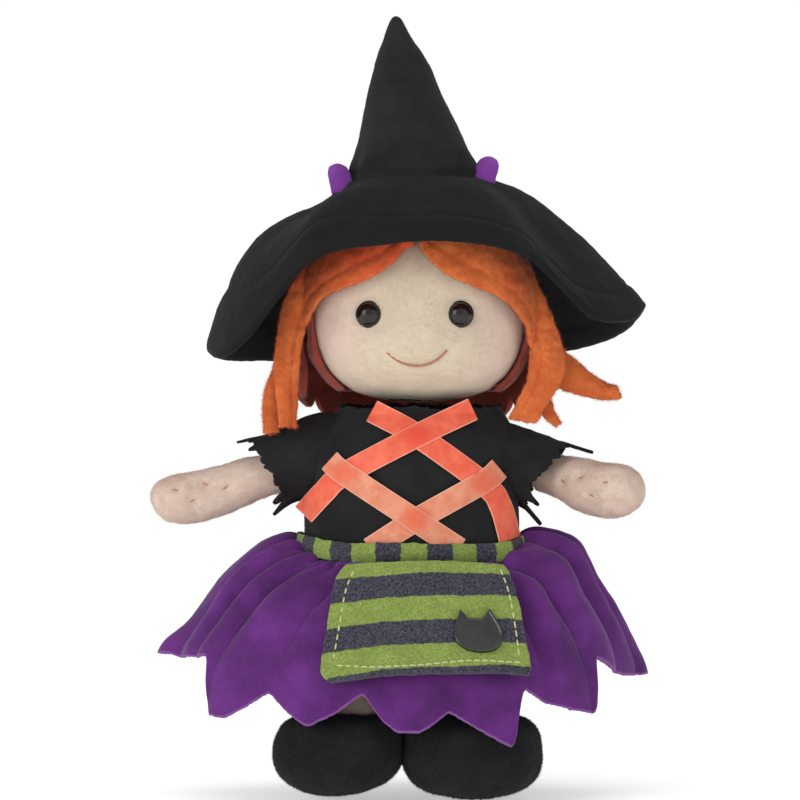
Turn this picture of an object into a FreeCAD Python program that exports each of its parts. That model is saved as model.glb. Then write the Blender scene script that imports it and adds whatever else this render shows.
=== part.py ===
import FreeCAD, Part
import math
import os

from FreeCAD import Matrix, Vector

# A soft witch hand puppet, 300 mm tall.  Millimetres, +Z up, the face looks along -Y.
# The origin is the middle of the hand opening at the bottom of the glove body.

# ---- driving dimensions ----------------------------------------------------------------
CLOTH = 1.6            # one layer of body cloth or plush backing
FELT = 2.4             # the thicker felt of the bodice
GAP = 0.2              # air between two pieces that are sewn on one another
STUFF_GAP = 0.1        # air between a skin and the fibre inside it
FAR = 60               # beyond the sides of anything that a box is used to cut

# glove body: (height, half width, half depth) of the outside of the lining
BODY = [(0, 38, 27.5), (30, 39, 28), (60, 39.2, 28.5), (84, 38.4, 28),
        (96, 37.6, 26), (103, 33, 21.5), (107, 22, 16.5)]
LEG_SLOT_TOP = 22.5     # the front of the mouth is cut up to here, where the legs are sewn
LEG_SLOT_BACK = -12    # and back to here
HEM_HEIGHT = 6         # turned hem round the mouth
BODICE_BOTTOM = 48
BELT_BOTTOM, BELT_TOP, BELT_THICK = 50.8, 57.6, 1.8

# skirt: (height, half width, half depth) of its outside
SKIRT = [(50.5, 44.6, 33.8), (47, 58, 37), (38, 75, 44), (20, 87, 54), (0, 93, 64), (-24, 96, 72)]
SKIRT_POINTS = 12      # pointed tips round the hem
TIP_FRONT, TIP_SIDE_RISE, NOTCH_HEIGHT = -18, 28, 14
NOTCH_REACH = (0.3, 1.6)   # the wedge that cuts a notch, from inside the skirt to outside it

# ribbons crossed over the chest: start and end (x, z), and how far each stands off the felt
RIBBON_WIDTH, RIBBON_THICK = 9, 0.5
RIBBONS = [((-15.5, 103.5), (38.4, 60.5), 0.3), ((21, 104.5), (-42.0, 66.7), 1.1),
           ((-33, 89.5), (15.9, 59.5), 0.3), ((35.3, 87.2), (-14.3, 59.5), 1.1)]

# head: middle, half width, half depth, half height below and above the middle
HEAD = Vector(3, 0, 144.6)
HEAD_HALF = (41.3, 36)
HEAD_LOW, HEAD_HIGH = 33, 43
PLUSH = 1.8            # head skin with its pile
FINGER_R, FINGER_WALL, FINGER_TOP = 9, 0.8, 152
NECK_INNER, NECK_OUTER, NECK_BOTTOM, NECK_TOP = 11.5, 13.2, 99, 107.5
EYES = [("left", -16.3, 145), ("right", 18.2, 145)]
EYE_R, EYE_DOME, STEM_R, STEM_LENGTH = 5.2, 3.6, 1.4, 7
WASHER_R, WASHER_THICK = 6, 1.0
MOUTH = [(-9.8, 130.4), (-4, 126.6), (1.6, 125.2), (7.5, 126.6), (13.2, 131)]
THREAD_R = 0.5

# hair: thickness of a layer of fleece, and the outlines of its pieces as (x, z)
FLEECE = 2.8
FRINGE_LEFT = [(0.3, 170), (-9, 162), (-21, 157), (-33, 152), (-37, 146), (-60, 143)]
FRINGE_RIGHT = [(4, 170), (10, 163), (22, 157), (34, 152), (44, 142), (64, 138)]
PARTING = 2
LOCKS = [("hair_lock_left", -24, [(-36, 168), (-43, 155), (-49, 141), (-52, 127), (-51, 101)],
          [(-45, 101), (-44, 120), (-42, 140), (-37, 148), (-29, 156)]),
         ("hair_strand_left", -18, [(-47, 143), (-52, 131), (-55, 114), (-57, 99)],
          [(-51, 99), (-49, 122), (-45, 136)]),
         ("hair_lock_right", -24, [(34, 171), (44.5, 164), (52, 147), (58, 130), (55, 116), (46, 103.6)],
          [(37, 103.6), (43, 116), (45, 130), (40, 145), (32, 152)]),
         ("hair_strand_right", -18, [(50, 128), (56, 116), (58, 103.5)],
          [(54, 104.5), (51, 111), (47, 120)]),
         ("hair_tuft_right", -12, [(47, 140), (58.5, 132), (80, 116)],
          [(80, 113), (56, 116.5), (48, 122)])]
HAIR_BACK_BOTTOM, HAIR_BACK_TOP = 102, 150
HAIR_BACK_INNER = (45.5, 40.5)

# hat
HAT_AXIS_Y = 1
CONE = [(196.6, 0.8, 24.8), (202.7, 0.6, 24.0), (212.9, -0.2, 20.5), (224.2, -1.7, 16.7),
        (240.7, -3.8, 11.4), (251.6, -5.2, 6.2), (258.4, -6.0, 3.0)]
CONE_TIP = 261.2
BRIM_INNER_R, BRIM_INNER_Z, BRIM_THICK = 24.6, 196, 2.6
# rim of the brim in four directions: reach, height, and the rise of its curve at 1/3 and 2/3
BRIM = {"right": (88.5, 147, 8, 7), "front": (60, 173, 3, 3),
        "left": (78.3, 130, 9, 19), "back": (70, 142, 8, 9)}
BRIM_SECTIONS = 24
LOOPS = [("left", -27.8, 197.6), ("right", 28.6, 200.4)]
LOOP_R, LOOP_WALL, LOOP_WIDTH = 4.8, 1.6, 8.5

# arms: shoulder, forward turn and droop at rest
SHOULDER_X, SHOULDER_Z = 54.6, 84
SLEEVE_R, SLEEVE_WALL, SLEEVE_CUT = 12.5, 1.5, 3.0
SLEEVE_HOLE_R = 9.6    # the sleeve's opening towards the glove body
SLEEVE_TILT = 11       # the cuff is tilted up from the arm by this many degrees
ARM_HOLE_R = 9
# along the arm from the shoulder: its root, the swell of the mitten, the end of the pocket, the tip
ARM_ROOT, ARM_SWELL_START, ARM_SWELL_END, ARM_BORE_END, ARM_LENGTH = -6.4, 8.6, 14, 36, 48
ARM_R, ARM_ROOT_R, ARM_BORE_R = 9.8, 8, 6.4
ARM_PAD_LENGTH = 6.4
ARMS = [("left", -1, 0, 15), ("right", 1, 34, 12)]

# legs and boots: leg x, then boot middle and half sizes
LEG_Y, LEG_R, LEG_TOP, LEG_BOTTOM = -30, 10, 18.5, -8
LEG_SKIN = 1.5
LEGS = [("left", -21, Vector(-29.1, -31, -21), (24.6, 23, 16.4)),
        ("right", 19, Vector(23.6, -31, -22), (27.1, 23, 17))]

# apron: hinge line at its top edge, and the outline as (across, down its own slope)
APRON_TOP_Y, APRON_TOP_Z, APRON_TILT, APRON_THICK = -38.6, 50.4, 28, 1.8
APRON = [(-25, 0.6), (35.5, 0.6), (40, 7), (46, 46), (42, 48), (-30, 51.5), (-35.7, 46), (-30, 7)]
# running stitches: corners of their line as (across, down), and one stitch
STITCH_LINE = [(37, 10), (40.6, 43), (-29.6, 46), (-25.6, 10)]
STITCH_STEP, STITCH_LENGTH = 6, 3.4
BADGE_MIDDLE, BADGE_R, BADGE_THICK = (25.1, 31), 8.6, 1.2
EAR_ROOT_OUT, EAR_ROOT_IN, EAR_TIP_X, EAR_RISE = (7.7, 1), (1.4, 7.7), 6.4, 3.4


# ---- shared shapes -----------------------------------------------------------------------
def slice_y(low, high, bottom=-FAR, top=200):
    """A box as wide as anything, between two depths, to keep one part of a piece."""
    return box((-FAR, low, bottom), (FAR + 10, high, top))


def move(shape, vector):
    """A copy of the shape, moved."""
    moved = shape.copy()
    moved.translate(vector)
    return moved


def box(low, high):
    """A box between two corners."""
    size = Vector(*high) - Vector(*low)
    return Part.makeBox(size.x, size.y, size.z, Vector(*low))


def barrel(profile, grow=0):
    """A solid through flat ellipses stacked up Z."""
    rings = []
    for z, half_width, half_depth in sorted(profile):
        ellipse = Part.Ellipse(Vector(0, 0, z), half_width + grow, half_depth + grow)
        rings.append(Part.Wire(ellipse.toShape()))
    return Part.makeLoft(rings, True)


def shell(profile, inner, outer):
    """The wall between two barrels, open at both ends."""
    return barrel(profile, outer).cut(barrel(profile, inner))


def pillow(middle, half, low, high, grow=0, power=2.5):
    """A plump closed shape: a superellipse turned about Z, then made wider than it is deep."""
    points = []
    steps = 12
    for k in range(steps + 1):
        angle = -math.pi / 2 + math.pi * k / steps
        reach = low if angle < 0 else high
        out = abs(math.cos(angle)) ** (2 / power)
        up = math.copysign(abs(math.sin(angle)) ** (2 / power), angle) * (reach + grow)
        points.append(Vector(out, 0, up))
    points[0].x = points[-1].x = 0
    side = Part.BSplineCurve()
    side.interpolate(points)
    axis = Part.makeLine(points[-1], points[0])
    face = Part.Face(Part.Wire([side.toShape(), axis]))
    turned = face.revolve(Vector(0, 0, 0), Vector(0, 0, 1), 360)
    stretch = Matrix()
    stretch.scale(half[0] + grow, half[1] + grow, 1)
    return move(turned.transformGeometry(stretch), middle)


def head_solid(grow):
    """The head's own shape, grown outwards."""
    return pillow(HEAD, HEAD_HALF, HEAD_LOW, HEAD_HIGH, grow)


def smooth_edge(points):
    """A smooth line through points."""
    curve = Part.BSplineCurve()
    curve.interpolate(points)
    return curve.toShape()


def slab(outer_side, inner_side, y, thick):
    """A flat piece between two smooth sides given as (x, z), from y to y + thick."""
    first = [Vector(x, y, z) for x, z in outer_side]
    second = [Vector(x, y, z) for x, z in inner_side]
    edges = [smooth_edge(first), Part.makeLine(first[-1], second[0]),
             smooth_edge(second), Part.makeLine(second[-1], first[0])]
    return Part.Face(Part.Wire(edges)).extrude(Vector(0, thick, 0))


def rod(points, radius):
    """A round thread along a smooth line, with flat ends."""
    path = Part.Wire(smooth_edge(points))
    start = points[0]
    along = points[1] - points[0]
    ring = Part.Wire(Part.makeCircle(radius, start, along))
    return path.makePipeShell([ring], True, False)


def head_front_y(x, z, grow=0, power=2.5):
    """Y of the front of the head at one place."""
    up = abs(z - HEAD.z) / ((HEAD_HIGH if z > HEAD.z else HEAD_LOW) + grow)
    ring = (1 - up ** power) ** (2 / power)
    across = (x - HEAD.x) / (HEAD_HALF[0] + grow)
    return -(HEAD_HALF[1] + grow) * math.sqrt(ring - across ** 2)


# ---- glove body and clothes -----------------------------------------------------------------
def body_panels():
    """Front and back cloth panels of the glove body, joined at side seams, with arm holes."""
    wall = shell(BODY, -CLOTH, 0)
    slot = slice_y(-FAR, LEG_SLOT_BACK, top=LEG_SLOT_TOP)
    wall = wall.cut(slot).cut(arm_holes())
    half = GAP / 2
    return wall.common(slice_y(-FAR, -half)), wall.common(slice_y(half, FAR))


def arm_holes():
    """The two round holes that the thumb and middle finger go through."""
    return Part.makeCylinder(ARM_HOLE_R, 2 * FAR, Vector(-FAR, 0, SHOULDER_Z), Vector(1, 0, 0))


def opening_hem():
    """Turned hem outside the mouth of the glove, from one side of the leg slot to the other."""
    band = shell(BODY, GAP, GAP + CLOTH)
    return band.common(slice_y(LEG_SLOT_BACK, FAR, 0, HEM_HEIGHT))


def bodice():
    """Black felt top over the glove body, its lower edge tucked under the belt."""
    wall = shell(BODY, GAP, GAP + FELT)
    return wall.common(slice_y(-FAR, FAR, BODICE_BOTTOM)).cut(arm_holes())


def belt():
    """Striped felt band round the waist."""
    inside = 2 * GAP + FELT
    band = shell(BODY, inside, inside + BELT_THICK)
    return band.common(slice_y(-FAR, FAR, BELT_BOTTOM, BELT_TOP))


def hem_point(index):
    """Direction and height of a tip of the skirt's hem; the first one is at the front."""
    turn = math.radians(-90 + 360 * index / SKIRT_POINTS)
    height = TIP_FRONT + TIP_SIDE_RISE * abs(math.cos(turn)) ** 6
    return turn, height


def hem_notch(index):
    """A wedge that cuts the hem between two tips, widening away from the middle."""
    turn_a, low_a = hem_point(index)
    turn_b, low_b = hem_point(index + 1)
    middle = (turn_a + turn_b) / 2
    apex = (low_a + low_b) / 2 + NOTCH_HEIGHT
    floor = -FAR
    rings = []
    for reach in NOTCH_REACH:
        corners = [(turn_a, floor), (turn_a, low_a), (middle, apex), (turn_b, low_b), (turn_b, floor)]
        points = [Vector(SKIRT[-1][1] * math.cos(turn) * reach, SKIRT[-1][2] * math.sin(turn) * reach, z)
                  for turn, z in corners]
        chord = (points[1] + points[3]) * 0.5
        points[2] = Vector(chord.x, chord.y, apex)
        rings.append(Part.makePolygon(points + points[:1]))
    return Part.makeLoft(rings, True, True)


def skirt():
    """Felt skirt gathered under the belt, with a pointed hem."""
    cloth = shell(SKIRT, -CLOTH, 0)
    for index in range(SKIRT_POINTS):
        cloth = cloth.cut(hem_notch(index))
    return cloth


def ribbon(start, end, stand_off):
    """A flat ribbon that follows the front of the bodice between two places."""
    first = Vector(start[0], -FAR, start[1])
    last = Vector(end[0], -FAR, end[1])
    along = (last - first).normalize()
    across = along.cross(Vector(0, 1, 0)) * (RIBBON_WIDTH / 2)
    corners = [first - across, first + across, last + across, last - across]
    window = Part.Face(Part.makePolygon(corners + corners[:1])).extrude(Vector(0, FAR, 0))
    near = FELT + GAP + stand_off
    return shell(BODY, near, near + RIBBON_THICK).common(window)


# ---- head --------------------------------------------------------------------------------------
def finger_hole(radius, top):
    """The round way up into the head for the index finger."""
    start = NECK_BOTTOM - 9
    return Part.makeCylinder(radius, top - start, Vector(0, 0, start))


def finger_tube():
    """Closed cloth tube for the index finger, sewn into the bottom of the head."""
    bottom = HEAD.z - HEAD_LOW + 0.4
    outside = Part.makeCylinder(FINGER_R + FINGER_WALL, FINGER_TOP - bottom, Vector(0, 0, bottom))
    inside = Part.makeCylinder(FINGER_R, FINGER_TOP - FINGER_WALL - bottom, Vector(0, 0, bottom))
    return outside.cut(inside)


def eye_place(x, z):
    """Where an eye's stem goes through the face."""
    return Vector(x, head_front_y(x, z), z)


def eye(x, z):
    """Domed safety eye with its stem."""
    place = eye_place(x, z)
    ball = Part.makeSphere(1)
    squeeze = Matrix()
    squeeze.scale(EYE_R, EYE_DOME, EYE_R)
    dome = move(ball.transformGeometry(squeeze), place)
    dome = dome.common(box((x - 9, place.y - 9, z - 9), (x + 9, place.y, z + 9)))
    stem = Part.makeCylinder(STEM_R, STEM_LENGTH, place - Vector(0, 0.5, 0), Vector(0, 1, 0))
    return dome.fuse(stem)


def eye_washer(x, z):
    """Locking washer on the stem, inside the head."""
    place = eye_place(x, z) + Vector(0, PLUSH + 1.6, 0)
    ring = Part.makeCylinder(WASHER_R, WASHER_THICK, place, Vector(0, 1, 0))
    return ring.cut(Part.makeCylinder(STEM_R + 0.05, WASHER_THICK, place, Vector(0, 1, 0)))


def head_parts():
    """Plush head skin, the fibre in it, and what goes through them."""
    outer = head_solid(0)
    inner = head_solid(-PLUSH)
    skin = outer.cut(inner).cut(finger_hole(FINGER_R + FINGER_WALL + STUFF_GAP, FINGER_TOP))
    fibre = head_solid(-PLUSH - STUFF_GAP)
    fibre = fibre.cut(finger_hole(FINGER_R + FINGER_WALL + STUFF_GAP, FINGER_TOP + STUFF_GAP))
    parts = {"finger_tube": finger_tube()}
    for side, x, z in EYES:
        parts["eye_" + side] = eye(x, z)
        parts["eye_washer_" + side] = eye_washer(x, z)
        around = eye_place(x, z) + Vector(0, -9, 0)
        fibre = fibre.cut(Part.makeCylinder(WASHER_R + STUFF_GAP, 9 + PLUSH + 1.6 + WASHER_THICK + STUFF_GAP,
                                            around, Vector(0, 1, 0)))
        fibre = fibre.cut(Part.makeCylinder(STEM_R + STUFF_GAP, 20, around, Vector(0, 1, 0)))
        skin = skin.cut(parts["eye_" + side])
        skin = skin.cut(parts["eye_washer_" + side])
    parts["head_skin"] = skin
    parts["head_stuffing"] = fibre
    stand = THREAD_R + GAP
    line = [Vector(x, head_front_y(x, z) - stand, z) for x, z in MOUTH]
    parts["mouth_stitching"] = rod(line, THREAD_R)
    return parts


def neck_tube():
    """Cloth tube between the glove body and the head."""
    outside = Part.makeCylinder(NECK_OUTER, NECK_TOP - NECK_BOTTOM, Vector(0, 0, NECK_BOTTOM))
    return outside.cut(Part.makeCylinder(NECK_INNER, NECK_TOP - NECK_BOTTOM, Vector(0, 0, NECK_BOTTOM)))


# ---- hair --------------------------------------------------------------------------------------
def hair_parts():
    """Fleece hair: a cap on the back of the head, a parted fringe, hanging locks and back hair."""
    layer = head_solid(GAP + FLEECE).cut(head_solid(GAP))
    parts = {"hair_cap": layer.common(slice_y(GAP, FAR, 120))}
    for side, line, middle in (("left", FRINGE_LEFT, PARTING), ("right", FRINGE_RIGHT, PARTING + GAP)):
        points = [Vector(x, -FAR, z) for x, z in line]
        corner = Vector(points[-1].x, -FAR, 200)
        top = Vector(middle, -FAR, 200)
        low = Vector(middle, -FAR, points[0].z)
        edges = [smooth_edge(points), Part.makeLine(points[-1], corner), Part.makeLine(corner, top),
                 Part.makeLine(top, low), Part.makeLine(low, points[0])]
        window = Part.Face(Part.Wire(edges)).extrude(Vector(0, FAR - GAP, 0))
        parts["hair_fringe_" + side] = layer.common(window)
    clear_of_head = head_solid(2 * GAP + FLEECE)
    for name, y, outer_side, inner_side in LOCKS:
        parts[name] = slab(outer_side, inner_side, y, FLEECE).cut(clear_of_head)
    half = HAIR_BACK_INNER
    wall = shell([(HAIR_BACK_BOTTOM, *half), (HAIR_BACK_TOP, *half)], 0, FLEECE)
    parts["hair_back"] = move(wall, Vector(HEAD.x, 0, 0)).common(slice_y(4, FAR))
    return parts


# ---- hat ---------------------------------------------------------------------------------------
def cone_solid(grow):
    """The pointed crown of the hat, grown outwards."""
    rings = []
    for z, x, radius in CONE:
        rings.append(Part.Wire(Part.makeCircle(radius + grow, Vector(x, HAT_AXIS_Y, z))))
    tip = CONE_TIP + grow
    rings.append(Part.Wire(Part.makeCircle(0.9 + max(0.0, grow), Vector(CONE[-1][1] - 0.2, HAT_AXIS_Y, tip))))
    return Part.makeLoft(rings, True)


def hat_cone():
    """Felt crown and the fibre in it."""
    inside, fibre = [], []
    for z, x, radius in CONE:
        middle = Vector(x, HAT_AXIS_Y, z)
        inside.append(Part.Wire(Part.makeCircle(radius - CLOTH, middle)))
        fibre.append(Part.Wire(Part.makeCircle(radius - CLOTH - STUFF_GAP, middle)))
    stuffing = Part.makeLoft(fibre, True)
    stuffing = stuffing.common(slice_y(-FAR, FAR, CONE[0][0] + STUFF_GAP, CONE[-1][0] - STUFF_GAP))
    return cone_solid(0).cut(Part.makeLoft(inside, True)), stuffing


def brim_rim(turn):
    """Reach, height and the two rises of the brim in one direction, blended from its four sides."""
    across, ahead = math.cos(turn), math.sin(turn)
    share = {"right": max(across, 0) ** 2, "left": min(across, 0) ** 2,
             "back": max(ahead, 0) ** 2, "front": min(ahead, 0) ** 2}
    return [sum(BRIM[side][k] * share[side] for side in BRIM) for k in range(4)]


def brim_section(turn):
    """Outline of the brim, cut by a plane through the axis of the hat."""
    reach, height, rise_1, rise_2 = brim_rim(turn)
    rises = (0, rise_1, rise_2, 0)
    out = Vector(math.cos(turn), math.sin(turn), 0)
    middle = Vector(CONE[0][1], HAT_AXIS_Y, 0)
    top, under = [], []
    for k, rise in enumerate(rises):
        share = k / 3
        r = BRIM_INNER_R + (reach - BRIM_INNER_R) * share
        z = BRIM_INNER_Z + (height - BRIM_INNER_Z) * share + rise
        top.append(middle + out * r + Vector(0, 0, z))
        under.append(middle + out * r + Vector(0, 0, z - BRIM_THICK))
    under.reverse()
    return Part.Wire([smooth_edge(top), Part.makeLine(top[-1], under[0]),
                      smooth_edge(under), Part.makeLine(under[-1], top[0])])


def hat_brim():
    """Wide drooping felt brim, made as a front half and a back half."""
    halves = []
    for first in (0, BRIM_SECTIONS // 2):
        turns = [2 * math.pi * (first + k) / BRIM_SECTIONS for k in range(BRIM_SECTIONS // 2 + 1)]
        halves.append(Part.makeLoft([brim_section(turn) for turn in turns], True, False))
    return halves[0].fuse(halves[1])


def hat_loop(x, z):
    """A folded loop of felt beside the foot of the crown."""
    start = Vector(x - LOOP_WIDTH / 2, HAT_AXIS_Y, z)
    ring = Part.makeCylinder(LOOP_R, LOOP_WIDTH, start, Vector(1, 0, 0))
    return ring.cut(Part.makeCylinder(LOOP_R - LOOP_WALL, LOOP_WIDTH, start, Vector(1, 0, 0)))


# ---- arms --------------------------------------------------------------------------------------
def place_arm(shape, side, forward, droop):
    """Turn a shape modelled round +X into an arm's rest direction and put it at the shoulder."""
    placed = shape.copy()
    placed.rotate(Vector(0, 0, 0), Vector(0, 1, 0), droop if side > 0 else 180 - droop)
    placed.rotate(Vector(0, 0, 0), Vector(0, 0, 1), -side * forward)
    placed.translate(Vector(side * SHOULDER_X, 0, SHOULDER_Z))
    return placed


def ball_cap(radius, end):
    """The part of a ball round the +X axis that is behind the plane x = end."""
    middle, along = Vector(0, 0, 0), Vector(1, 0, 0)
    return Part.makeSphere(radius, middle, along, -90, math.degrees(math.asin(end / radius)))


def sleeve(side, forward, droop):
    """Short felt sleeve round the shoulder, open to the arm and to the glove body."""
    cuff = ball_cap(SLEEVE_R, SLEEVE_CUT).cut(ball_cap(SLEEVE_R - SLEEVE_WALL, SLEEVE_CUT))
    cuff = cuff.cut(Part.makeCylinder(SLEEVE_HOLE_R, SLEEVE_R, Vector(-SLEEVE_R, 0, 0), Vector(1, 0, 0)))
    return place_arm(cuff, side, forward, droop - SLEEVE_TILT)


def arm_parts(side, forward, droop):
    """Plush mitten arm with a finger pocket, and the fibre in its tip."""
    along = Vector(1, 0, 0)
    root = Part.makeCylinder(ARM_ROOT_R, ARM_SWELL_START - ARM_ROOT, Vector(ARM_ROOT, 0, 0), along)
    swell = Part.makeCone(ARM_ROOT_R, ARM_R, ARM_SWELL_END - ARM_SWELL_START, Vector(ARM_SWELL_START, 0, 0), along)
    straight = ARM_LENGTH - ARM_R - ARM_SWELL_END
    mitten = Part.makeCylinder(ARM_R, straight, Vector(ARM_SWELL_END, 0, 0), along)
    tip = Part.makeSphere(ARM_R, Vector(ARM_LENGTH - ARM_R, 0, 0), along, 0, 90)
    whole = root.fuse(swell).fuse(mitten).fuse(tip).removeSplitter()
    bore = Part.makeCylinder(ARM_BORE_R, ARM_BORE_END - ARM_ROOT, Vector(ARM_ROOT, 0, 0), along)
    pad_start = Vector(ARM_BORE_END + FELT / 2, 0, 0)
    pad = Part.makeCylinder(ARM_BORE_R - GAP, ARM_PAD_LENGTH, pad_start, along)
    hollow = Part.makeCylinder(ARM_BORE_R - GAP + STUFF_GAP, ARM_PAD_LENGTH + 2 * STUFF_GAP,
                               pad_start - along * STUFF_GAP, along)
    skin = whole.cut(bore).cut(hollow)
    return place_arm(skin, side, forward, droop), place_arm(pad, side, forward, droop)


# ---- legs --------------------------------------------------------------------------------------
def leg_parts(x, boot_middle, boot_half):
    """Leg tube and boot, each a plush skin over fibre."""
    foot = Vector(x, LEG_Y, LEG_BOTTOM)
    height = LEG_TOP - LEG_BOTTOM
    whole = Part.makeCylinder(LEG_R, height, foot)
    inner = Part.makeCylinder(LEG_R - LEG_SKIN, height, foot)
    fibre = Part.makeCylinder(LEG_R - LEG_SKIN - STUFF_GAP, height, foot)
    around = Part.makeCylinder(LEG_R + STUFF_GAP, 40, foot - Vector(0, 0, STUFF_GAP))
    half, high = boot_half[:2], boot_half[2]
    boot = pillow(boot_middle, half, high, high).cut(around)
    core = pillow(boot_middle, half, high, high, -CLOTH)
    boot_fibre = pillow(boot_middle, half, high, high, -CLOTH - STUFF_GAP)
    return {"leg_skin": whole.cut(inner), "leg_stuffing": fibre,
            "boot": boot.cut(core), "boot_stuffing": boot_fibre.cut(around)}


# ---- apron -------------------------------------------------------------------------------------
def on_apron(shape):
    """Lay a shape modelled flat, x across and -z down, onto the sloping apron."""
    placed = shape.copy()
    placed.rotate(Vector(0, 0, 0), Vector(1, 0, 0), -APRON_TILT)
    placed.translate(Vector(0, APRON_TOP_Y, APRON_TOP_Z))
    return placed


def apron():
    """Striped felt apron, sewn on along its top edge only."""
    corners = [Vector(x, 0, -down) for x, down in APRON]
    face = Part.Face(Part.makePolygon(corners + corners[:1]))
    return on_apron(face.extrude(Vector(0, -APRON_THICK, 0)))


def apron_stitching():
    """Running stitches inside the two sides and the bottom of the apron."""
    corners = [Vector(x, 0, -down) for x, down in STITCH_LINE]
    out = Vector(0, -APRON_THICK - THREAD_R - 0.02, 0)
    stitches = []
    for start, end in zip(corners, corners[1:]):
        along = (end - start).normalize()
        count = int((end - start).Length // STITCH_STEP)
        for k in range(count):
            at = start + along * (STITCH_STEP * (k + 0.3)) + out
            stitches.append(Part.makeCylinder(THREAD_R, STITCH_LENGTH, at, along))
    return on_apron(Part.makeCompound(stitches))


def cat_badge():
    """Flat round-faced cat head with two ears, sewn on the lower corner of the apron."""
    x, down = BADGE_MIDDLE
    middle = Vector(x, 0, -down)
    thick = Vector(0, -BADGE_THICK, 0)
    flat = Part.Face(Part.Wire(Part.makeCircle(BADGE_R, middle, Vector(0, 1, 0)))).extrude(thick)
    for side in (-1, 1):
        ear = [middle + Vector(side * EAR_ROOT_OUT[0], 0, EAR_ROOT_OUT[1]),
               middle + Vector(side * EAR_TIP_X, 0, BADGE_R + EAR_RISE),
               middle + Vector(side * EAR_ROOT_IN[0], 0, EAR_ROOT_IN[1])]
        flat = flat.fuse(Part.Face(Part.makePolygon(ear + ear[:1])).extrude(thick))
    return on_apron(move(flat.removeSplitter(), Vector(0, -APRON_THICK - 0.02, 0)))


# ---- all the pieces ------------------------------------------------------------------------------
def all_parts():
    """Every piece by its node name."""
    parts = {}
    parts["body_front"], parts["body_back"] = body_panels()
    parts["opening_hem"] = opening_hem()
    parts["bodice"] = bodice()
    parts["waist_belt"] = belt()
    parts["skirt"] = skirt()
    for number, (start, end, stand_off) in enumerate(RIBBONS, 1):
        parts[f"ribbon_{number}"] = ribbon(start, end, stand_off).cut(parts["waist_belt"])
    parts["neck_tube"] = neck_tube()
    parts.update(head_parts())
    parts.update(hair_parts())
    parts["hat_cone"], parts["hat_stuffing"] = hat_cone()
    parts["hat_brim"] = hat_brim()
    for side, x, z in LOOPS:
        parts["hat_loop_" + side] = hat_loop(x, z).cut(parts["hat_brim"]).cut(cone_solid(GAP))
    for name, side, forward, droop in ARMS:
        parts["sleeve_" + name] = sleeve(side, forward, droop)
        parts["arm_" + name], parts["arm_stuffing_" + name] = arm_parts(side, forward, droop)
    for name, x, boot_middle, boot_half in LEGS:
        for piece, shape in leg_parts(x, boot_middle, boot_half).items():
            parts[f"{piece}_{name}"] = shape
    parts["apron"] = apron()
    parts["apron_stitching"] = apron_stitching()
    parts["cat_badge"] = cat_badge()
    return parts


os.makedirs("parts", exist_ok=True)
for node, shape in all_parts().items():
    solids = shape.Solids
    print(node, len(solids), "solids", round(shape.Volume), "mm3", "valid" if shape.isValid() else "INVALID")
    shape.exportStep(f"parts/{node}.step")
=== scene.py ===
import math

import bpy
import numpy as np
from mathutils import Matrix, Vector


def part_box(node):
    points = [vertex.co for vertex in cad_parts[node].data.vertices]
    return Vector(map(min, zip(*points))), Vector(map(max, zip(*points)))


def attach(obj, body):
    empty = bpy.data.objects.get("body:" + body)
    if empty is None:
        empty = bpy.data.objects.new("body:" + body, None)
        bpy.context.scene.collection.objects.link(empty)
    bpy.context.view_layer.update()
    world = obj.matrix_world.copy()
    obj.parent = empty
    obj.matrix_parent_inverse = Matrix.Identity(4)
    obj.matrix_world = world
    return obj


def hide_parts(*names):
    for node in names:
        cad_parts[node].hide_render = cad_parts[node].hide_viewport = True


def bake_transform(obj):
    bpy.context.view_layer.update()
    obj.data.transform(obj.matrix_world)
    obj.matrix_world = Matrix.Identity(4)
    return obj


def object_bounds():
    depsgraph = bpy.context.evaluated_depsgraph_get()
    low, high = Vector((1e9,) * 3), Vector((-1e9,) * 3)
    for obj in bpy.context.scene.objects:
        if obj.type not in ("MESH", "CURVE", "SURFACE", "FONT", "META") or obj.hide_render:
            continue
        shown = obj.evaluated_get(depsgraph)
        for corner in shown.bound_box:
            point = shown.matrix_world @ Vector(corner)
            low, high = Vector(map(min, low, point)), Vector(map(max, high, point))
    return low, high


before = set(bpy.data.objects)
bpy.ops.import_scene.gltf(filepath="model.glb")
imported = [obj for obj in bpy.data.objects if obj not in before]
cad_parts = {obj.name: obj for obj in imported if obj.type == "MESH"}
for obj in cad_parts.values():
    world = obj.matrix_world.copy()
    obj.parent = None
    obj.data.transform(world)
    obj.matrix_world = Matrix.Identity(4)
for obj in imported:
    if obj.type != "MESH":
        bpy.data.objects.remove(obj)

# A soft witch hand puppet.  Lengths below are in millimetres unless a name says otherwise;
# meshes are made in metres.  The face looks along -Y and +X is to the viewer's right.
MM = 0.001
cad_low, cad_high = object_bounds()

# ---- driving dimensions ----------------------------------------------------------------
FELT = 2.2
FLEECE = 2.6
HEAD_LOW_SHARE = 33 / 76          # the widest level of the head, as a share of its height
HEAD_POWER = 2.5
# eyes: side, x, z, radius
EYES = [("left", -16.3, 145, 5.2), ("right", 18.2, 145, 5.2)]
# smile: (x, z) from its left end
SMILE = [(-9.8, 130.6), (-6.5, 127.8), (-2.6, 126), (1.6, 125.3), (5.8, 125.9), (9.8, 127.9), (13.2, 131.2)]

# glove body: (height, half width, half depth) of the lining's outside
BODY = [(0, 38, 27.5), (30, 39, 28), (60, 39.2, 28.5), (84, 38.4, 28),
        (96, 37.6, 26), (103, 33, 21.5), (107, 30, 19)]
BELT = (50.0, 57.6)               # lowest and highest level of the belt
BODICE = (48, 109.4)              # lowest level of the bodice and the level of its neckline
RIBBON_WIDTH = 9
SHOULDER = (54.6, 0, 84)
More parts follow.
